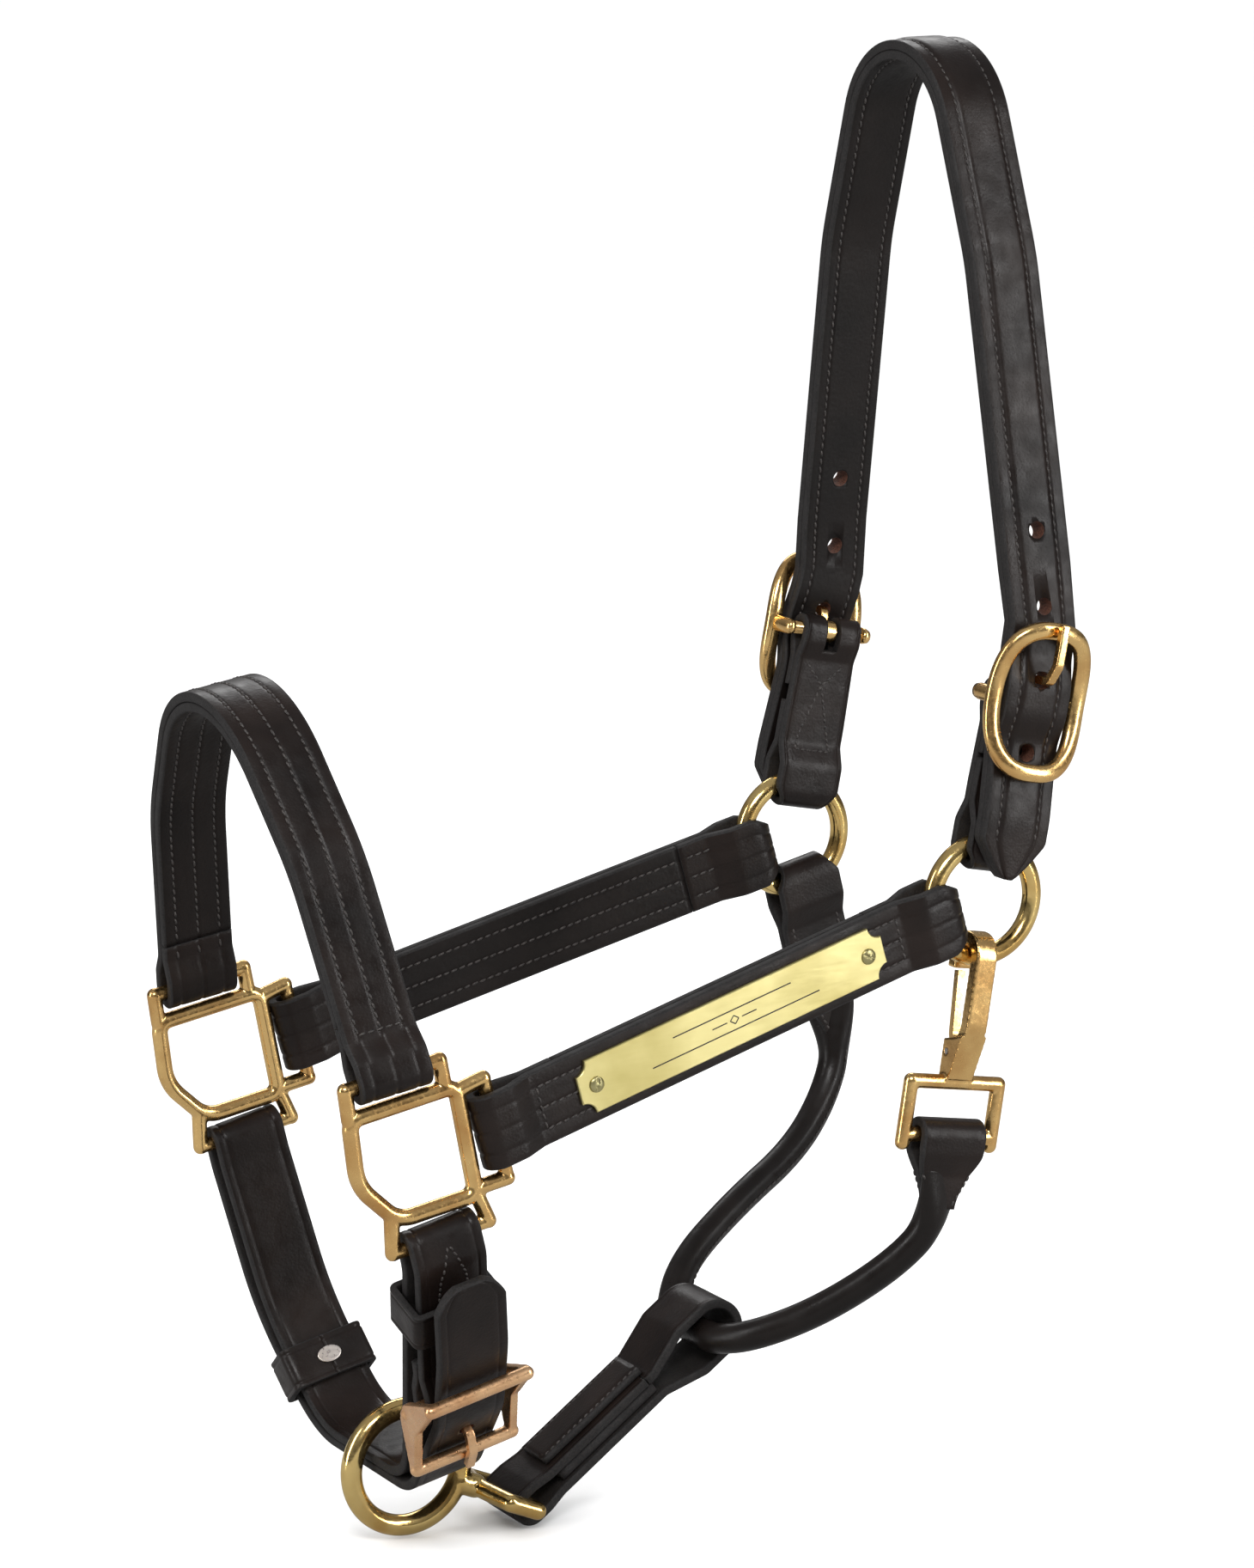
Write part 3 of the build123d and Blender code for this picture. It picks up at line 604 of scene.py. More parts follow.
def crown_frames(across):
    """Stations of one crown layer, from the near billet's point over the poll to the far one's."""
    arch = [(-71.3, 94), (-47.5, 215), (0, 345.5), (47.5, 215), (71.3, 94)]
    corners, radii = parallel(arch, [90, 32.5, 90], across)
    over = frames_of(crown_plane, corners, radii, 2.4)
    over = [f for f in over if f[0].z > 112]
    legs = {}
    for side in SIDES:
        reach = BAR_REACH[side]
        wave = [(BILLET_TIP, 10.5), (30, 10.5), (reach - 14, 6.6), (reach - 5, 9.3), (reach + 5, 9.3)]
        wave += [(reach + 14, 6.4), (101, 5.2)]
        corners, radii = parallel(wave, [40, 16, 16, 16, 16], across)
        run = frames_of(spoke_plane(side, CROWN_ANGLE), corners, radii, 1.5, backwards=side == "far")
        legs[side] = [f for f in run if f[0].z < 94.5]
    return chained(legs["near"], over, legs["far"])


def pointed(frames):
    """Half width near the two pointed ends."""
    length = frames[-1][3]

    def half_width(_, distance):
        end = min(distance, length - distance)
        return 1.6 + 11.2 * min(1.0, end / 13.0) ** 0.82

    return half_width


outer_frames = crown_frames(LINED / 2)
inner_frames = crown_frames(-LEATHER / 2)
crown_outer = strap("crown_outer", outer_frames, LEATHER, WIDTH, [STRAP, SIDE, FLESH, HOLE],
                    half_width=pointed(outer_frames), rows=(-7.6, 7.6), crown=0.75, crown_half=7.0)
crown_inner = strap("crown_inner", turned_over(inner_frames), LINED, WIDTH, [LINING, SIDE, FLESH, HOLE],
                    half_width=pointed(inner_frames), rows=(-8.6, 8.6))


def round_cutter(centre, way, radius, long):
    """A closed rod that punches a hole, centred on a point."""
    way = way.normalized()
    side = way.orthogonal().normalized()
    up = way.cross(side)
    points = []
    for end in (-0.5, 0.5):
        for angle in circle_angles(24):
            reach = side * (math.cos(angle) * radius) + up * (math.sin(angle) * radius)
            points.append((centre + way * (long * end) + reach) * MM)
    faces = []
    skin(faces, 0, 2, 24)
    return points, faces


def punch(piece, cutters, wall):
    """Cuts holes through a piece. Their walls take the piece's material of that index."""
    points = []
    faces = []
    for cut_points, cut_faces in cutters:
        base = len(points)
        points += cut_points
        faces += [tuple(base + i for i in face) for face in cut_faces]
    cutter = new_mesh(piece.name + "_cutter", points, faces, piece.data.materials[:], smooth=False,
                      marks=[wall] * len(faces))
    cut = piece.modifiers.new("holes", "BOOLEAN")
    cut.operation = "DIFFERENCE"
    cut.solver = "EXACT"
    cut.object = cutter
    bpy.context.view_layer.update()
    shown = piece.evaluated_get(bpy.context.evaluated_depsgraph_get())
    mesh = bpy.data.meshes.new_from_object(shown)
    piece.modifiers.clear()
    piece.data = mesh
    bpy.data.objects.remove(cutter)


crown_holes = []
for side in SIDES:
    spoke = spoke_plane(side, CROWN_ANGLE)
    for reach in (BAR_REACH[side] + 7.1, BAR_REACH[side] - 17.9):
        crown_holes.append(round_cutter(spoke.raw(reach, 9.0), spoke.v, HOLE_RADIUS, 24))
    for step in (1, 2):
        height = BAR_REACH[side] + 5 + 25 * step
        middle = CROWN_FOOT - height * math.tan(CROWN_LEAN)
        spot = Vector((middle, SIDES[side] * (76.0 - height * 0.08), height))
        nearest = min(outer_frames, key=lambda f: (f[0] - spot).length)
        place = Vector((middle, nearest[0].y, height))
        crown_holes.append(round_cutter(place, nearest[2], HOLE_RADIUS, 24))
punch(crown_outer, crown_holes, 3)
punch(crown_inner, crown_holes, 3)
finish_piece(crown_outer, "crown", "leather", "crown_strap")
finish_piece(crown_inner, "crown", "lining", "crown_lining")


def row_lines(row, start, end):
    """A straight stitch row, given every 12 mm so that it follows the strap."""
    count = max(1, round((end - start) / 12))
    return [[(start + (end - start) * i / count, row) for i in range(count + 1)]]


crown_length = outer_frames[-1][3]
crown_spots = []
for row in (-7.6, 7.6):
    for line in (row_lines(row, 14, crown_length - 14), [[(4.5, 0), (14, row)]],
                 [[(crown_length - 4.5, 0), (crown_length - 14, row)]]):
        crown_spots.append(stitches_on(outer_frames, line, LEATHER, 2.9))
for row in (-8.6, 8.6):
    line = row_lines(row, 16, crown_length - 16)
    crown_spots.append(stitches_on(inner_frames, line, LINED, 2.9, under=True))
stitch_piece("crown_stitches", crown_spots, "crown")


# ---- Crown chapes ----

def near_ring_width(side, angle, clear=0.45):
    """Half width of a fold that shares a ring, kept inside its wedge of 38 degrees each side."""
    spoke = spoke_plane(side, angle)

    def half_width(point, _):
        reach = (point - spoke.origin).dot(spoke.u)
        return max(2.0, min(WIDTH / 2, reach * math.tan(math.radians(38.0)) - clear))

    return half_width


def add_rings(points, faces, rings, capped=True):
    """Adds rings of points, skinned together."""
    base = len(points)
    for ring in rings:
        points += ring
    skin(faces, base, len(rings), len(rings[0]), capped)


def flattened(share, power):
    """Bends a cosine or a sine towards a square's side."""
    return math.copysign(abs(share) ** power, share)


def buckle_frame(side):
    """The crown buckle's frame: a thick bar bowed over the strap, with bosses and a centre bar."""
    spoke = spoke_plane(side, CROWN_ANGLE)
    reach = BAR_REACH[side]
    bar_wide = 6.1
    bar_deep = 4.8
    half_long = 27.2 - bar_wide / 2
    half_wide = 19.6 - bar_wide / 2
    round_turn = circle_angles(20)
    outline = []
    for angle in circle_angles(160):
        along = half_long * flattened(math.cos(angle), 2 / 2.75)
        outline.append((along, half_wide * flattened(math.sin(angle), 2 / 2.75)))
    rings = []
    for index, (along, across) in enumerate(outline):
        way = unit(outline[index - 1], outline[(index + 1) % len(outline)])
        height = 10.5 + 8.1 * (along / 30) ** 2
        ring = []
        for angle in round_turn:
            out = flattened(math.cos(angle), 0.85) * bar_wide / 2
            up = flattened(math.sin(angle), 0.85) * bar_deep / 2
            ring.append(spoke.at(reach + along + way[1] * out, height + up, across - way[0] * out))
        rings.append(ring)
    points = []
    faces = []
    add_rings(points, faces, rings, capped=False)
    last = (len(rings) - 1) * len(round_turn)
    for index in range(len(round_turn)):
        after = (index + 1) % len(round_turn)
        faces.append((last + index, last + after, after, index))
    boss_levels = ((11.5, 3.0), (8.0, 2.9), (4.0, 2.9), (0.5, 2.9), (-1.8, 2.4), (-2.6, 1.2))
    for edge in (-half_wide + 0.9, half_wide - 0.9):
        rings = []
        for level, size in boss_levels:
            rings.append([spoke.at(reach + math.cos(angle) * size, level, edge + math.sin(angle) * size * 0.75)
                          for angle in round_turn])
        add_rings(points, faces, rings)
    rings = []
    for across in (-half_wide + 0.5, half_wide - 0.5):
        rings.append([spoke.at(reach + math.cos(angle) * 2.2, math.sin(angle) * 2.2, across)
                      for angle in round_turn])
    add_rings(points, faces, rings)
    piece = new_mesh(f"{side}_buckle_frame", points, faces, [BRASS])
    finish_piece(piece, "crown", "brass", f"{side}_crown_buckle_frame")


def slot_cutter(place, outline, half_wide):
    """A box that cuts a tongue's slot. place gives each corner in metres."""
    return [place(*corner, w) for w in (-half_wide, half_wide) for corner in outline], BOX_FACES


for side in SIDES:
    buckle_frame(side)
for side in SIDES:
    reach = BAR_REACH[side]
    spoke = spoke_plane(side, CROWN_ANGLE)
    legs = CHAPE / 2 + GAP / 2
    ring_gap = RING_WIRE + 0.4 + CHAPE / 2
    bar_gap = 2.2 + 0.15 + CHAPE / 2
    bar_fold, bar_radii = fold((reach, 0), (-1, 0), bar_gap, legs, bar_gap, 4, 10)
    ring_fold, ring_radii = fold((RING_REACH, 0), (1, 0), ring_gap, legs, 8.55, 6, 13)
    corners = [(reach - 20.5, legs)] + bar_fold + ring_fold + [(RING_REACH + 28, legs)]
    chape_frames = frames_of(spoke, corners, bar_radii + ring_radii, 1.2)
    wedge = near_ring_width(side, CROWN_ANGLE)

    def chape_width(point, distance, wedge=wedge, spoke=spoke, reach=reach):
        """Narrower at the buckle than at the ring."""
        share = ((point - spoke.origin).dot(spoke.u) - 40) / (reach - 40)
        return min(wedge(point, distance), 12.5 - 0.9 * max(0.0, min(1.0, share)))

    chape = strap(f"{side}_chape", chape_frames, CHAPE, 25.0, LEATHERS, half_width=chape_width,
                  creases=(-11.0, 11.0))
    slot = ((reach - 6.8, -30), (reach + 12, -30), (reach + 12, 30), (reach - 6.8, 30))
    punch(chape, [slot_cutter(spoke.at, slot, 2.75)], 1)
    finish_piece(chape, "crown", "leather", f"{side}_crown_chape")
    # The back leg runs from the bar to the ring, on the horse's side.
    back = [f for f in chape_frames if (f[0] - spoke.origin).dot(spoke.v) < 0]

    def back_at(u, frames=back, spoke=spoke):
        return min(frames, key=lambda f: abs((f[0] - spoke.origin).dot(spoke.u) - u))[3]

    top = back_at(reach - 12)
    crossing = back_at(reach - 20)
    low = back_at(31)
    cross = [
        [(top, -7.0), (crossing, 0.3), (low - 6, 6.4), (low, 7.2)],
        [(top, 7.4), (crossing, 0.3), (low - 6, -5.6), (low, -7.2)],
        [(low, -7.2), (low, 7.2)],
    ]
    cross_spots = stitches_on(chape_frames, cross, CHAPE, 2.3, sunk=0.05)
    stitch_piece(f"{side}_chape_stitches", [cross_spots], "crown")


# ---- Doubled straps: noseband and cheeks ----

def place_distance(frames, spot):
    """The distance along stations that is nearest a point."""
    return min(frames, key=lambda f: (f[0] - spot).length)[3]


def doubled(name, plane, middle, radii, loops, seam, rows, half_width=None):
    """A strap folded round a bar at both ends, a lining between its turned-back ends, and the stitches.

    loops gives each fold's half gap, tip, flare and leg, and seam is how far each end is turned back.
    """
    legs = (LEATHER + GAP) / 2
    inside = (LINED + GAP) / 2
    outer, outer_radii = parallel(middle, radii, legs)
    inner, inner_radii = parallel(middle, radii, -inside)
    first_way = unit(middle[0], middle[1])
    last_way = unit(middle[-1], middle[-2])
    half_gap, tip, flare, leg = loops[0]
    first_fold, first_radii = fold(middle[0], first_way, half_gap, legs, tip, flare, leg)
    half_gap, tip, flare, leg = loops[1]
    last_fold, last_radii = fold(middle[-1], last_way, half_gap, legs, tip, flare, leg)
    corners = [step_from(middle[0], first_way, seam, -legs)] + first_fold + outer[1:-1]
    corners += last_fold + [step_from(middle[-1], last_way, seam, legs)]
    frames = frames_of(plane, corners, first_radii + outer_radii + last_radii, 1.5)
    line = [step_from(middle[0], first_way, seam + 0.5, -inside)] + inner[1:-1]
    line += [step_from(middle[-1], last_way, seam + 0.5, inside)]
    lining_frames = frames_of(plane, line, inner_radii, 2.0)
    piece = strap(name + "_outer", frames, LEATHER, WIDTH, LEATHERS, half_width=half_width, rows=rows)
    finish_piece(piece, "head", "leather", name + "_strap")
    piece = strap(name + "_inner", turned_over(lining_frames), LINED, WIDTH, LININGS, rows=rows)
    finish_piece(piece, "head", "lining", name + "_lining")
    total = frames[-1][3]
    first = place_distance(frames, plane.raw(*step_from(middle[0], first_way, leg + 3, legs)))
    last = place_distance(frames, plane.raw(*step_from(middle[-1], last_way, leg + 3, -legs)))
    spots = []
    for row in rows:
        for start, end in ((first, last), (2.0, seam - leg), (total - seam + leg, total - 2.0)):
            spots.append(stitches_on(frames, row_lines(row, start, end), LEATHER))
        line = row_lines(row, 1.5, lining_frames[-1][3] - 1.5)
        spots.append(stitches_on(lining_frames, line, LINED, under=True))
    ends = [[(first, rows[0]), (first, rows[-1])], [(last, rows[0]), (last, rows[-1])]]
    spots.append(stitches_on(frames, ends, LEATHER, sunk=0.05))
    stitch_piece(name + "_stitches", spots, "head")


SQUARE_WIRE = 2.4
nose_plane = lean_plane(-2.2, 28.0, 10.0)
nose_middle = [(-77, 0), (-56, 67), (0, 147), (56, 67), (77, 0)]
square_gap = SQUARE_WIRE + 0.4 + LEATHER / 2
doubled("noseband", nose_plane, nose_middle, [70, 43, 70], [(square_gap, square_gap, 6, 13)] * 2, 19,
        (-8.0, 0.0, 8.0))

cheek_planes = {}
for side in SIDES:
    start = square_plane(side).raw(30.3, 0.5)
    centre = ring_place(side)
    toward = start - centre
    end = centre + Vector((toward.x, 0, toward.z)).normalized() * RING_REACH
    along = (end - start).normalized()
    away = Vector((0, SIDES[side], 0))
    across = along.cross(away)
    plane = Plane(start, along, across.cross(along))
    cheek_planes[side] = plane
    length = (end - start).length
    ring_gap = RING_WIRE + 0.65 + LEATHER / 2
    loops = [(square_gap, square_gap + 1.2, 6, 14), (ring_gap, 9.0, 6, 14)]
    angle = math.degrees(math.atan2(-along.z, -along.x)) % 360
    doubled(f"{side}_cheek", plane, [(0, 0), (length, 0)], [], loops, 26, (-7.4, 0.0, 7.4),
            half_width=near_ring_width(side, angle))


# ---- Chin strap and keepers ----

chin_plane = lean_plane(3.4, -19.5, 13.5)
CHIN_BAR = (-59.0, -71.0)


def chin_path():
    """Corners and radii, from the end behind the buckle, round both squares and back to the billet."""
    half = 77.0
    gap = square_gap
    along = unit(CHIN_BAR, (-half, 0))
    bar_gap = 2.4 + 0.3 + LEATHER / 2
    legs = LEATHER / 2 + GAP
    first_fold, first_radii = fold(CHIN_BAR, along, bar_gap, legs, bar_gap, 5, 12)
    inner_depth = -(108.6 - LEATHER / 2 - GAP)
    outer_depth = -(108.6 + LEATHER / 2 + GAP)
    corners = [step_from(CHIN_BAR, along, 17, -legs)] + first_fold
    top = gap - 10
    corners += [(-half - gap, -18), (-half - gap, top), (-half + gap, top), (-half + gap, -18)]
    corners += [(-54, -55), (-28, inner_depth), (40, inner_depth), (65, -70)]
    corners += [(half - gap, -18), (half - gap, top), (half + gap, top), (half + gap, -20)]
    corners += [(74.5, -72), (46, outer_depth), (-30, outer_depth), (-66.5, -76), (-82, -50), (-93, -22)]
    radii = first_radii + [8, gap - 0.1, gap - 0.1, 15, 60, 22, 26, 60, 15, gap - 0.1, gap - 0.1, 15]
    radii += [60, 30, 26, 30, 60]
    return corners, radii


chin_frames = frames_of(chin_plane, *chin_path(), 1.6)
chin_length = chin_frames[-1][3]
chin = strap("chin_outer", chin_frames, LEATHER, WIDTH, [STRAP, SIDE, FLESH, HOLE], creases=(-9.4, 9.4),
             half_width=lambda _, d: 5.5 + 7.2 * min(1.0, (chin_length - d) / 8.0) ** 0.6)
chin_down = unit((-82, -50), (-30, -110))
chin_out = (chin_down[1], -chin_down[0])


def chin_spot(along, out, across=0.0):
    """A point by the chin buckle: along the free end, out from the jaw, and across. Millimetres."""
    u = CHIN_BAR[0] + chin_down[0] * along + chin_out[0] * out
    v = CHIN_BAR[1] + chin_down[1] * along + chin_out[1] * out
    return chin_plane.raw(u, v, across)


out_way = chin_spot(0, 1) - chin_spot(0, 0)
slot = ((-4.5, -8.2), (7.2, -8.2), (7.2, 6.22), (-4.5, 6.22))
punch(chin, [round_cutter(chin_spot(7.1, 8.5), out_way, 2.6, 6.5),
             round_cutter(chin_spot(-12, 8.5), out_way, 2.1, 7.5),
             slot_cutter(lambda *place: chin_spot(*place) * MM, slot, 2.9)], 3)
finish_piece(chin, "head", "leather", "chin_strap")
apex = place_distance(chin_frames, chin_plane.raw(-81.5, -12))
peak = [
    [(apex, 0.4), (apex - 11, 4.6), (apex - 22, 5.8)],
    [(apex, -0.4), (apex - 11, -4.6), (apex - 22, -5.8)],
]
stitch_piece("chin_stitches", [stitches_on(chin_frames, peak, LEATHER, 2.3, sunk=0.05)], "head")


def keeper(name, centre, toward, thick, length, body, node):
    """A leather loop round the chin strap, its ends meeting on the horse's side."""
    wall = 2.4
    flat_way = unit(*toward)
    way = chin_plane.u * flat_way[0] + chin_plane.v * flat_way[1]
    plane = Plane(chin_plane.raw(*centre), chin_plane.w, way.cross(chin_plane.w))
    inward = 1 if (plane.v.y < 0) == (centre[0] > 0) else -1
    wide = inward * (WIDTH + 1.6 + wall) / 2
    deep = inward * (thick + wall) / 2
    corners = [(0, deep), (wide, deep), (wide, -deep), (-wide, -deep), (-wide, deep), (0, deep)]
    loop = strap(name, frames_of(plane, corners, [1.9] * 4, 1.0), wall, length, LEATHERS,
                 creases=(-length / 2 + 1.9, length / 2 - 1.9), edge=0.5)
    finish_piece(loop, body, "leather", node)


keeper("near_keeper", (-68.8, -35), ((-54, -55), (-72.5, -15)), 15.2, 14, "head", "near_chin_keeper")
keeper("far_keeper_loop", (54.6, -91.5), ((43, -108), (69, -71)), 12.6, 15, "far_keeper",
       "far_chin_keeper")


# ---- Jaw strap ----

ROLL = 5.3
JAW_CORE = 4.6
STRIP = 2.6
ring_centre = chin_plane.raw(0, -115.2)
fall = math.radians(23.0)
jaw_bar = ring_centre + Vector((45 * math.cos(fall), 0, -45 * math.sin(fall)))
roll_at_jaw = Vector((-76, 0, -157))
jaw_along = (roll_at_jaw - jaw_bar).normalized()
jaw_plane = Plane(jaw_bar, jaw_along, Vector((0, -1, 0)).cross(jaw_along))
jaw_length = (roll_at_jaw - jaw_bar).length
legs = (LINED + JAW_CORE + GAP) / 2
bar_gap = 3.0 + 0.4 + LINED / 2
roll_gap = ROLL + 2.3 + LINED / 2
roll_fold, roll_radii = fold((jaw_length, 0), (-1, 0), roll_gap, legs, roll_gap + 3.2, 8, 24)
bar_fold, bar_radii = fold((0, 0), (1, 0), bar_gap, legs, bar_gap, 5, 12)
jaw_corners = [(jaw_length - 27, legs)] + roll_fold + bar_fold + [(jaw_length - 27.5, legs)]
jaw_frames = frames_of(jaw_plane, jaw_corners, roll_radii + bar_radii, 1.3)
jaw = strap("jaw_outer", jaw_frames, LINED, 25.0, LEATHERS, creases=(-10.6, 10.6))
finish_piece(jaw, "jaw", "leather", "jaw_strap")
core_frames = frames_of(jaw_plane, [(15, 0), (jaw_length - 26, 0)], [], 3.0)
core = strap("jaw_core", core_frames, JAW_CORE, 23.4, [SIDE] * 3, edge=2.0)
finish_piece(core, "jaw", "leather", "jaw_strap_core")
strip_level = legs + (LINED + STRIP) / 2
strip_frames = frames_of(jaw_plane, [(14, strip_level), (jaw_length - 26, strip_level)], [], 2.0)
strip = strap("jaw_strip", strip_frames, STRIP, 17.0, LEATHERS, rows=(-6.6, 6.6), edge=0.9, crown=0.5,
              crown_half=6.2)
finish_piece(strip, "jaw", "leather", "jaw_top_strip")
strip_end = strip_frames[-1][3]
strip_spots = [stitches_on(strip_frames, row_lines(row, 1.5, strip_end - 1.5), STRIP, 2.8, sunk=0.25)
               for row in (-6.6, 6.6)]
under_start = place_distance(jaw_frames, jaw_plane.raw(jaw_length - 26, -legs))
under_end = place_distance(jaw_frames, jaw_plane.raw(14, -legs))
strip_spots += [stitches_on(jaw_frames, row_lines(row, under_start, under_end), LINED, 2.8, sunk=0.05)
                for row in (-6.6, 6.6)]
stitch_piece("jaw_stitches", strip_spots, "jaw")


# ---- Throat latch ----

near_spoke = spoke_plane("near", 261.0)
far_spoke = spoke_plane("far", 284.0)
route = [near_spoke.raw(93, 0), near_spoke.raw(112, 0), (-29, -58, -126), (-49, -44, -143),
         (-68, -31, -153), (-76, -17, -157), (-76, -9, -157), (-76, 9, -157), (-76, 17, -157),
         (-64, 30, -143), (-36, 41, -127), (-6, 52, -114), (12, 61, -98), far_spoke.raw(82, 0),
         far_spoke.raw(62, 0)]
horse_middle = Vector((-30, 0, -60))


def smooth_route(points, step=1.4):
    """Evenly spaced points on the smooth curve that a route of control points shapes."""
    curve = bpy.data.curves.new("route", "CURVE")
    curve.dimensions = "3D"
    spline = curve.splines.new("NURBS")
    spline.points.add(len(points) - 1)
    for item, point in zip(spline.points, points):
        item.co = (*point, 1)
    spline.order_u = 3
    spline.use_endpoint_u = True
    spline.resolution_u = 24
    holder = bpy.data.objects.new("route", curve)
    bpy.context.scene.collection.objects.link(holder)
    bpy.context.view_layer.update()
    mesh = bpy.data.meshes.new_from_object(holder)
    line = [v.co.copy() for v in mesh.vertices]
    bpy.data.objects.remove(holder)
    bpy.data.meshes.remove(mesh)
    travelled = [0.0]
    for a, b in zip(line, line[1:]):
        travelled.append(travelled[-1] + (b - a).length)
    count = int(travelled[-1] / step)
    even = []
    index = 0
    for i in range(count + 1):
        wanted = travelled[-1] * i / count
        while index < len(line) - 2 and travelled[index + 1] < wanted:
            index += 1
        run = travelled[index + 1] - travelled[index]
        share = 0 if run <= 0 else (wanted - travelled[index]) / run
        even.append((line[index].lerp(line[index + 1], min(1.0, share)), wanted))
    return even


roll_line = smooth_route(route)
roll_frames = []
for index, (point, distance) in enumerate(roll_line):
    before = roll_line[max(0, index - 1)][0]
    after = roll_line[min(len(roll_line) - 1, index + 1)][0]
    along = (after - before).normalized()
    outward = point - horse_middle
    outward = (outward - along * outward.dot(along)).normalized()
    roll_frames.append((point, along, outward, distance))
roll_length = roll_frames[-1][3]
SEAM_ANGLE = math.pi * 1.25


def ease(share):
    """A smooth step from 0 to 1."""
    share = max(0.0, min(1.0, share))
    return share * share * (3 - 2 * share)


def roll_mesh():
    """The rolled latch, flattened at each end where it opens into its tab, with a sewn seam."""
    flat_wide = 9.6
    flat_deep = 2.7
    rings = []
    for point, along, outward, distance in roll_frames:
        sideways = along.cross(outward)
        from_end = min(distance, roll_length - distance)
        half_wide = flat_wide + (ROLL - flat_wide) * ease(from_end / 26.0)
        half_deep = flat_deep + (ROLL - flat_deep) * ease(from_end / 20.0)
        ring = []
        for angle in circle_angles(36):
            from_seam = math.atan2(math.sin(angle - SEAM_ANGLE), math.cos(angle - SEAM_ANGLE))
            lip = 0.45 * math.exp(-((from_seam / 0.3) ** 2))
            groove = 0.75 * math.exp(-((from_seam / 0.09) ** 2))
            reach = sideways * (math.sin(angle) * half_wide) + outward * (math.cos(angle) * half_deep)
            ring.append((point + reach * (1 + (lip - groove) / ROLL)) * MM)
        rings.append(ring)
    points = []
    faces = []
    add_rings(points, faces, rings)
    return new_mesh("latch_roll", points, faces, [ROLLED])


finish_piece(roll_mesh(), "throat_latch", "rolled_leather", "throat_latch_roll", "throat_latch_core")
seam_spots = []
distance = 18.0
while distance < roll_length - 18.0:
    point, along, outward = place_on(roll_frames, distance)
    sideways = along.cross(outward)
    angle = SEAM_ANGLE + 0.32
    out = (sideways * math.sin(angle) + outward * math.cos(angle)).normalized()
    spot = point + out * (ROLL + 0.32)
    skew = (along + out.cross(along) * 0.12).normalized()
    across = out.cross(skew).normalized()
    seam_spots.append((spot * MM, skew, out, across, 2.3 * MM, 0.75 * MM, 0.6 * MM))
    distance += 2.8
stitch_piece("roll_stitches", [seam_spots], "throat_latch")


def tab(side, angle, bar, gap, tip, end, shared):
    """The latch's flat doubled end, folded round a bar or ring and narrowed towards the roll."""
    spoke = spoke_plane(side, angle)
    legs = LINED / 2 + GAP / 2
    leg = 13
    corners, radii = fold((bar, 0), (1, 0), gap, legs, tip, 6, leg)
    corners = [(end, -legs)] + corners + [(end, legs)]
    frames = frames_of(spoke, corners, radii, 1.2)
    wedge = near_ring_width(side, angle)

    def half_width(point, distance):
        place = (point - spoke.origin).dot(spoke.u)
        narrowed = 12.5 - 7.0 * ease((place - (end - 22)) / 22)
        return min(narrowed, wedge(point, distance)) if shared else narrowed

    piece = strap(f"{side}_tab", frames, LINED, 25.2, LEATHERS, half_width=half_width, edge=0.9)
    finish_piece(piece, "throat_latch", "leather", f"{side}_throat_latch_tab")
    total = frames[-1][3]
    leg_run = end - bar - leg
    spots = []
    for sign in (-1, 1):
        wide = sign * 9.3
        slim = sign * 3.6
        for first, last in ((total - leg_run, total - 1.0), (leg_run, 1.0)):
            bend = first + (last - first) * max(0.0, (leg_run - 20) / leg_run)
            line = [(first, wide), (bend, wide), (last, slim)]
            spots.append(stitches_on(frames, [line], LINED, 2.6, sunk=0.05))
    stitch_piece(f"{side}_tab_stitches", spots, "throat_latch")


snap_bar_gap = 2.6 + 0.3 + LINED / 2
tab("far", 284.0, RING_REACH, RING_WIRE + 0.4 + LINED / 2, 8.6, 76, True)
tab("near", 261.0, 82, snap_bar_gap, snap_bar_gap, 107, False)


# ---- Nameplate: screws and plain engraved rules ----

plate_plane = cheek_planes["near"]
PLATE_MIDDLE = 92.5
PLATE_FACE = LEATHER + GAP + 1.2


def screw(name, place):
    """A domed head with a slot, over its CAD screw."""
    centre = plate_plane.raw(place, PLATE_FACE)
    out = plate_plane.v
    points = [(centre + out * 1.15) * MM]
    rings = 9
    spokes = 40
    turn = math.radians(35 if place > PLATE_MIDDLE else 110)
    for ring in range(1, rings + 1):
        share = ring / rings
        radius = 2.75 * math.sin(share * math.pi / 2)
        for angle in circle_angles(spokes):
            along = math.cos(angle) * radius
            across = math.sin(angle) * radius
            height = 1.2 * math.cos(share * math.pi / 2) ** 0.8
            if abs(across * math.cos(turn) - along * math.sin(turn)) < 0.42:
                height = min(height, 0.55)
            flat = plate_plane.u * along + plate_plane.w * across
            points.append((centre + flat + out * height) * MM)
    faces = [(0, 1 + i, 1 + (i + 1) % spokes) for i in range(spokes)]
    for ring in range(rings - 1):
        for index in range(spokes):
            a = 1 + ring * spokes + index
            b = 1 + ring * spokes + (index + 1) % spokes
            faces.append((a, a + spokes, b + spokes, b))
    faces.append(tuple(1 + (rings - 1) * spokes + i for i in reversed(range(spokes))))
    finish_piece(new_mesh(name, points, faces, [SCREW]), "head", "screws", "nameplate_screws")


SCREW_REACH = 55.4
screw("screw_front", PLATE_MIDDLE - SCREW_REACH)
screw("screw_rear", PLATE_MIDDLE + SCREW_REACH)


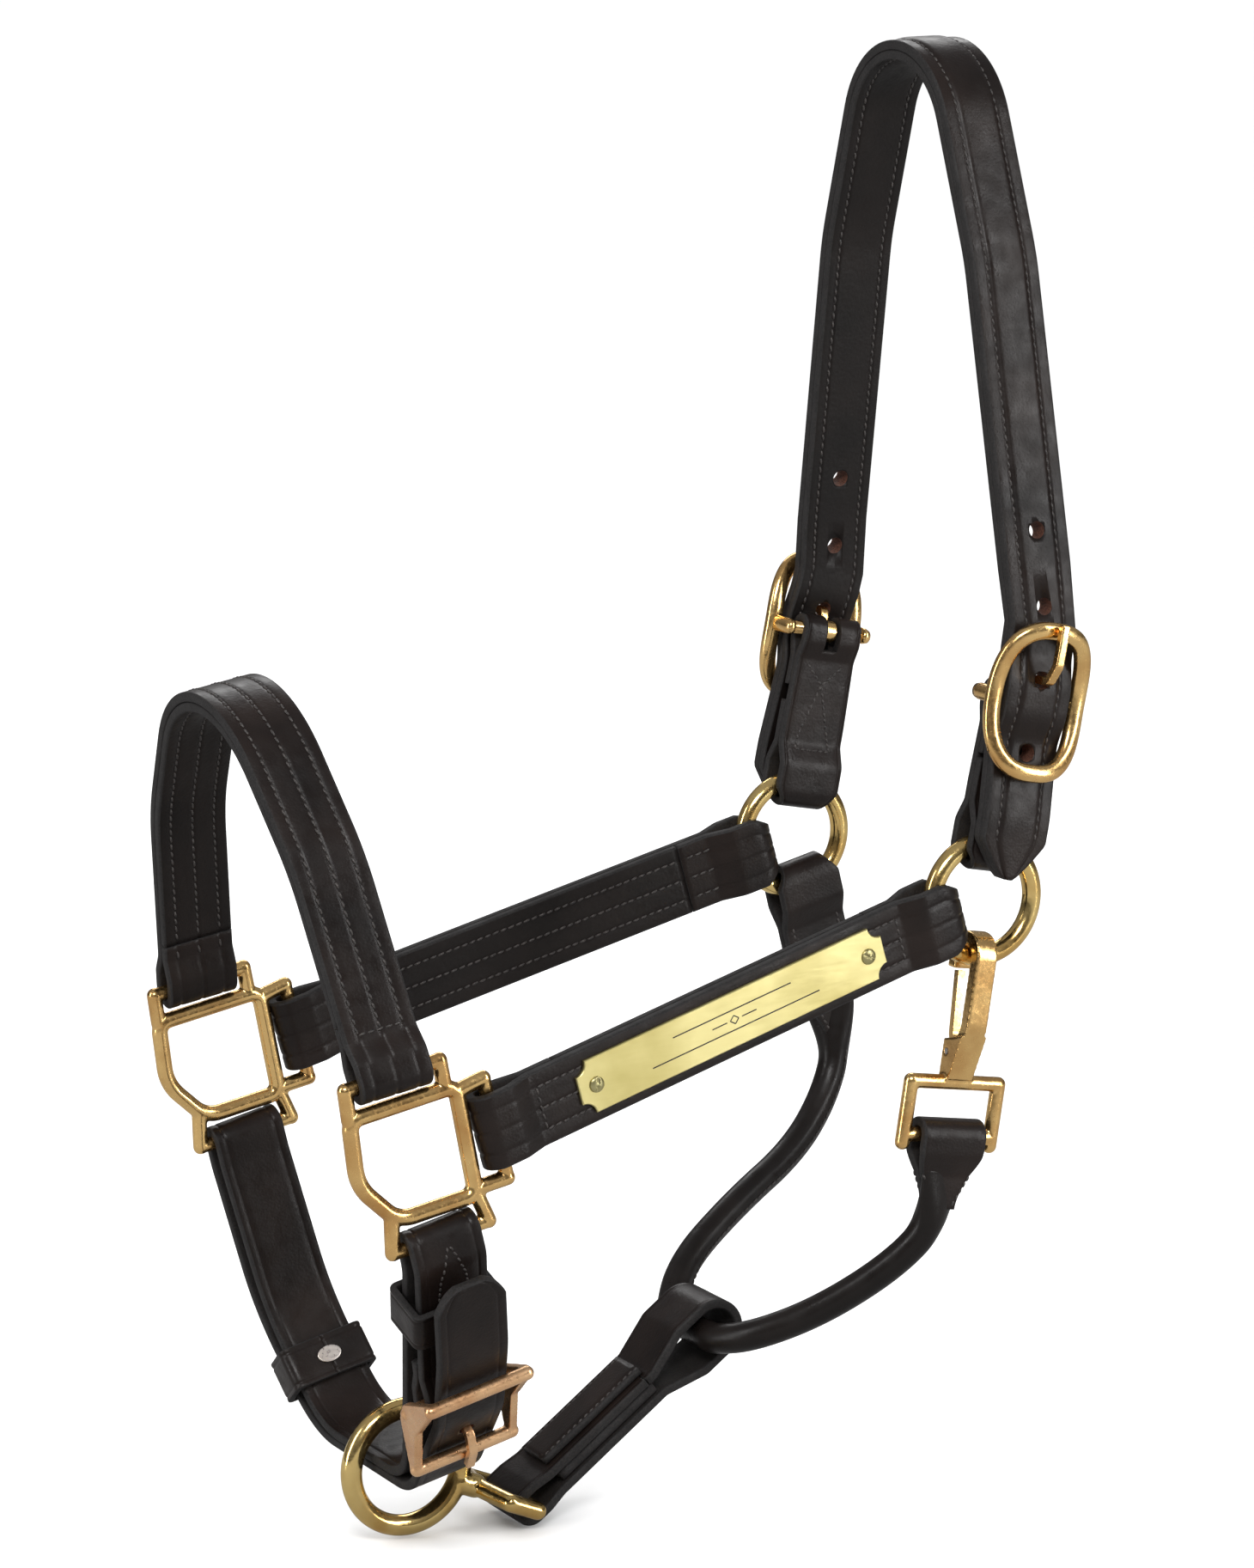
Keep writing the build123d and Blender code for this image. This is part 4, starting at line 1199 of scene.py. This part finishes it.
def engraved(name, lines):
    """Thin engraved lines, each a list of (along, across) points on the plate and a half width."""
    points = []
    faces = []
    for line, wide in lines:
        for a, b in zip(line, line[1:]):
            way = unit(a, b)
            base = len(points)
            for lift in (-0.1, 0.035):
                for end, across in ((a, -wide), (b, -wide), (b, wide), (a, wide)):
                    spot = step_from(end, way, 0, across)
                    points.append(plate_plane.at(PLATE_MIDDLE + spot[0], PLATE_FACE + lift, spot[1]))
            faces += [tuple(base + i for i in face) for face in BOX_FACES]
    finish_piece(new_mesh(name, points, faces, [INK], smooth=False), "head", "plate")


engraved("plate_rules", [
    ([(-34, 3.4), (34, 3.4)], 0.22),
    ([(-24, -3.4), (24, -3.4)], 0.22),
    ([(-9, 0), (-3, 0)], 0.2),
    ([(3, 0), (9, 0)], 0.2),
    ([(-1.7, 0), (0, 1.5), (1.7, 0), (0, -1.5), (-1.7, 0)], 0.2),
])


# ---- Room, light and camera ----

def area_light(name, place, aim, size, power):
    """A plain white soft light. Metres and watts."""
    light = bpy.data.lights.new(name, "AREA")
    light.shape = "RECTANGLE"
    light.size, light.size_y = size
    light.energy = power
    holder = bpy.data.objects.new(name, light)
    holder.location = place
    holder.rotation_mode = "QUATERNION"
    holder.rotation_quaternion = (Vector(aim) - Vector(place)).to_track_quat("-Z", "Y")
    bpy.context.scene.collection.objects.link(holder)


def mixed_by_ray(tree, ray, plain, special):
    """Shows one shader to a kind of ray and another to the rest."""
    path = tree.nodes.new("ShaderNodeLightPath")
    mixed = tree.nodes.new("ShaderNodeMixShader")
    tree.links.new(path.outputs[ray], mixed.inputs["Fac"])
    tree.links.new(plain, mixed.inputs[1])
    tree.links.new(special, mixed.inputs[2])
    return mixed.outputs["Shader"]


def room():
    """An even white room, with a dimmer one for reflections so that they keep their contrast."""
    world = bpy.data.worlds.new("room")
    bpy.context.scene.world = world
    world.use_nodes = True
    tree = world.node_tree
    plain = tree.nodes["Background"]
    plain.inputs["Color"].default_value = (1, 1, 1, 1)
    plain.inputs["Strength"].default_value = 1.15
    where = tree.nodes.new("ShaderNodeTexCoord")
    split = tree.nodes.new("ShaderNodeSeparateXYZ")
    tree.links.new(where.outputs["Generated"], split.inputs["Vector"])
    shade = tree.nodes.new("ShaderNodeValToRGB")
    elements = shade.color_ramp.elements
    elements[0].position, elements[0].color = 0.0, (0.10, 0.095, 0.09, 1)
    elements[1].position, elements[1].color = 0.9, (0.42, 0.42, 0.44, 1)
    tree.links.new(split.outputs["Z"], shade.inputs["Fac"])
    dim = tree.nodes.new("ShaderNodeBackground")
    dim.inputs["Strength"].default_value = 0.75
    tree.links.new(shade.outputs["Color"], dim.inputs["Color"])
    shown = mixed_by_ray(tree, "Is Glossy Ray", plain.outputs["Background"], dim.outputs["Background"])
    tree.links.new(shown, tree.nodes["World Output"].inputs["Surface"])


room()
area_light("key", (-0.9, -1.5, 1.3), (-0.1, 0, 0.0), (0.9, 0.5), 22)
area_light("side", (-1.9, 0.1, 0.5), (-0.1, 0, 0.0), (0.25, 1.5), 14)
area_light("right", (0.9, -1.3, 0.4), (-0.1, 0, 0.0), (0.22, 1.5), 13)
area_light("back", (0.6, 1.6, 1.2), (-0.1, 0, 0.05), (1.2, 0.6), 9)

level = cad_low.z - 0.001
half_floor = 30
corners = [(-half_floor, -half_floor, level), (half_floor, -half_floor, level),
           (half_floor, half_floor, level), (-half_floor, half_floor, level)]
floor_mesh = bpy.data.meshes.new("floor")
floor_mesh.from_pydata(corners, [], [(0, 1, 2, 3)])
floor_material, floor_nodes, floor_links, floor_shader = begin("pale_floor")
floor_shader.inputs["Base Color"].default_value = (0.93, 0.93, 0.93, 1)
floor_shader.inputs["Roughness"].default_value = 0.9
floor_dim = floor_nodes.new("ShaderNodeBsdfDiffuse")
floor_dim.inputs["Color"].default_value = (0.30, 0.30, 0.30, 1)
floor_shown = mixed_by_ray(floor_material.node_tree, "Is Camera Ray", floor_dim.outputs["BSDF"],
                           floor_shader.outputs["BSDF"])
floor_links.new(floor_shown, floor_nodes["Material Output"].inputs["Surface"])
floor_mesh.materials.append(floor_material)
floor = bpy.data.objects.new("floor", floor_mesh)
bpy.context.scene.collection.objects.link(floor)
floor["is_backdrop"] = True

camera_data = bpy.data.cameras.new("camera")
camera_data.sensor_fit = "VERTICAL"
camera_data.sensor_height = 36.0
camera_data.lens = 121.8
camera_data.clip_start = 0.05
camera_data.clip_end = 100.0
camera = bpy.data.objects.new("camera", camera_data)
target = Vector((-0.1017, 0, 0.0378))
turn = math.radians(-28.0)
tilt = math.radians(10.6)
back_way = Vector((math.sin(turn) * math.cos(tilt), -math.cos(turn) * math.cos(tilt), math.sin(tilt)))
camera.location = target + back_way * 1.8
camera.rotation_mode = "QUATERNION"
camera.rotation_quaternion = (-back_way).to_track_quat("-Z", "Y")
bpy.context.scene.collection.objects.link(camera)
bpy.context.scene.camera = camera
bpy.context.scene.view_settings.view_transform = "Standard"

low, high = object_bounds()
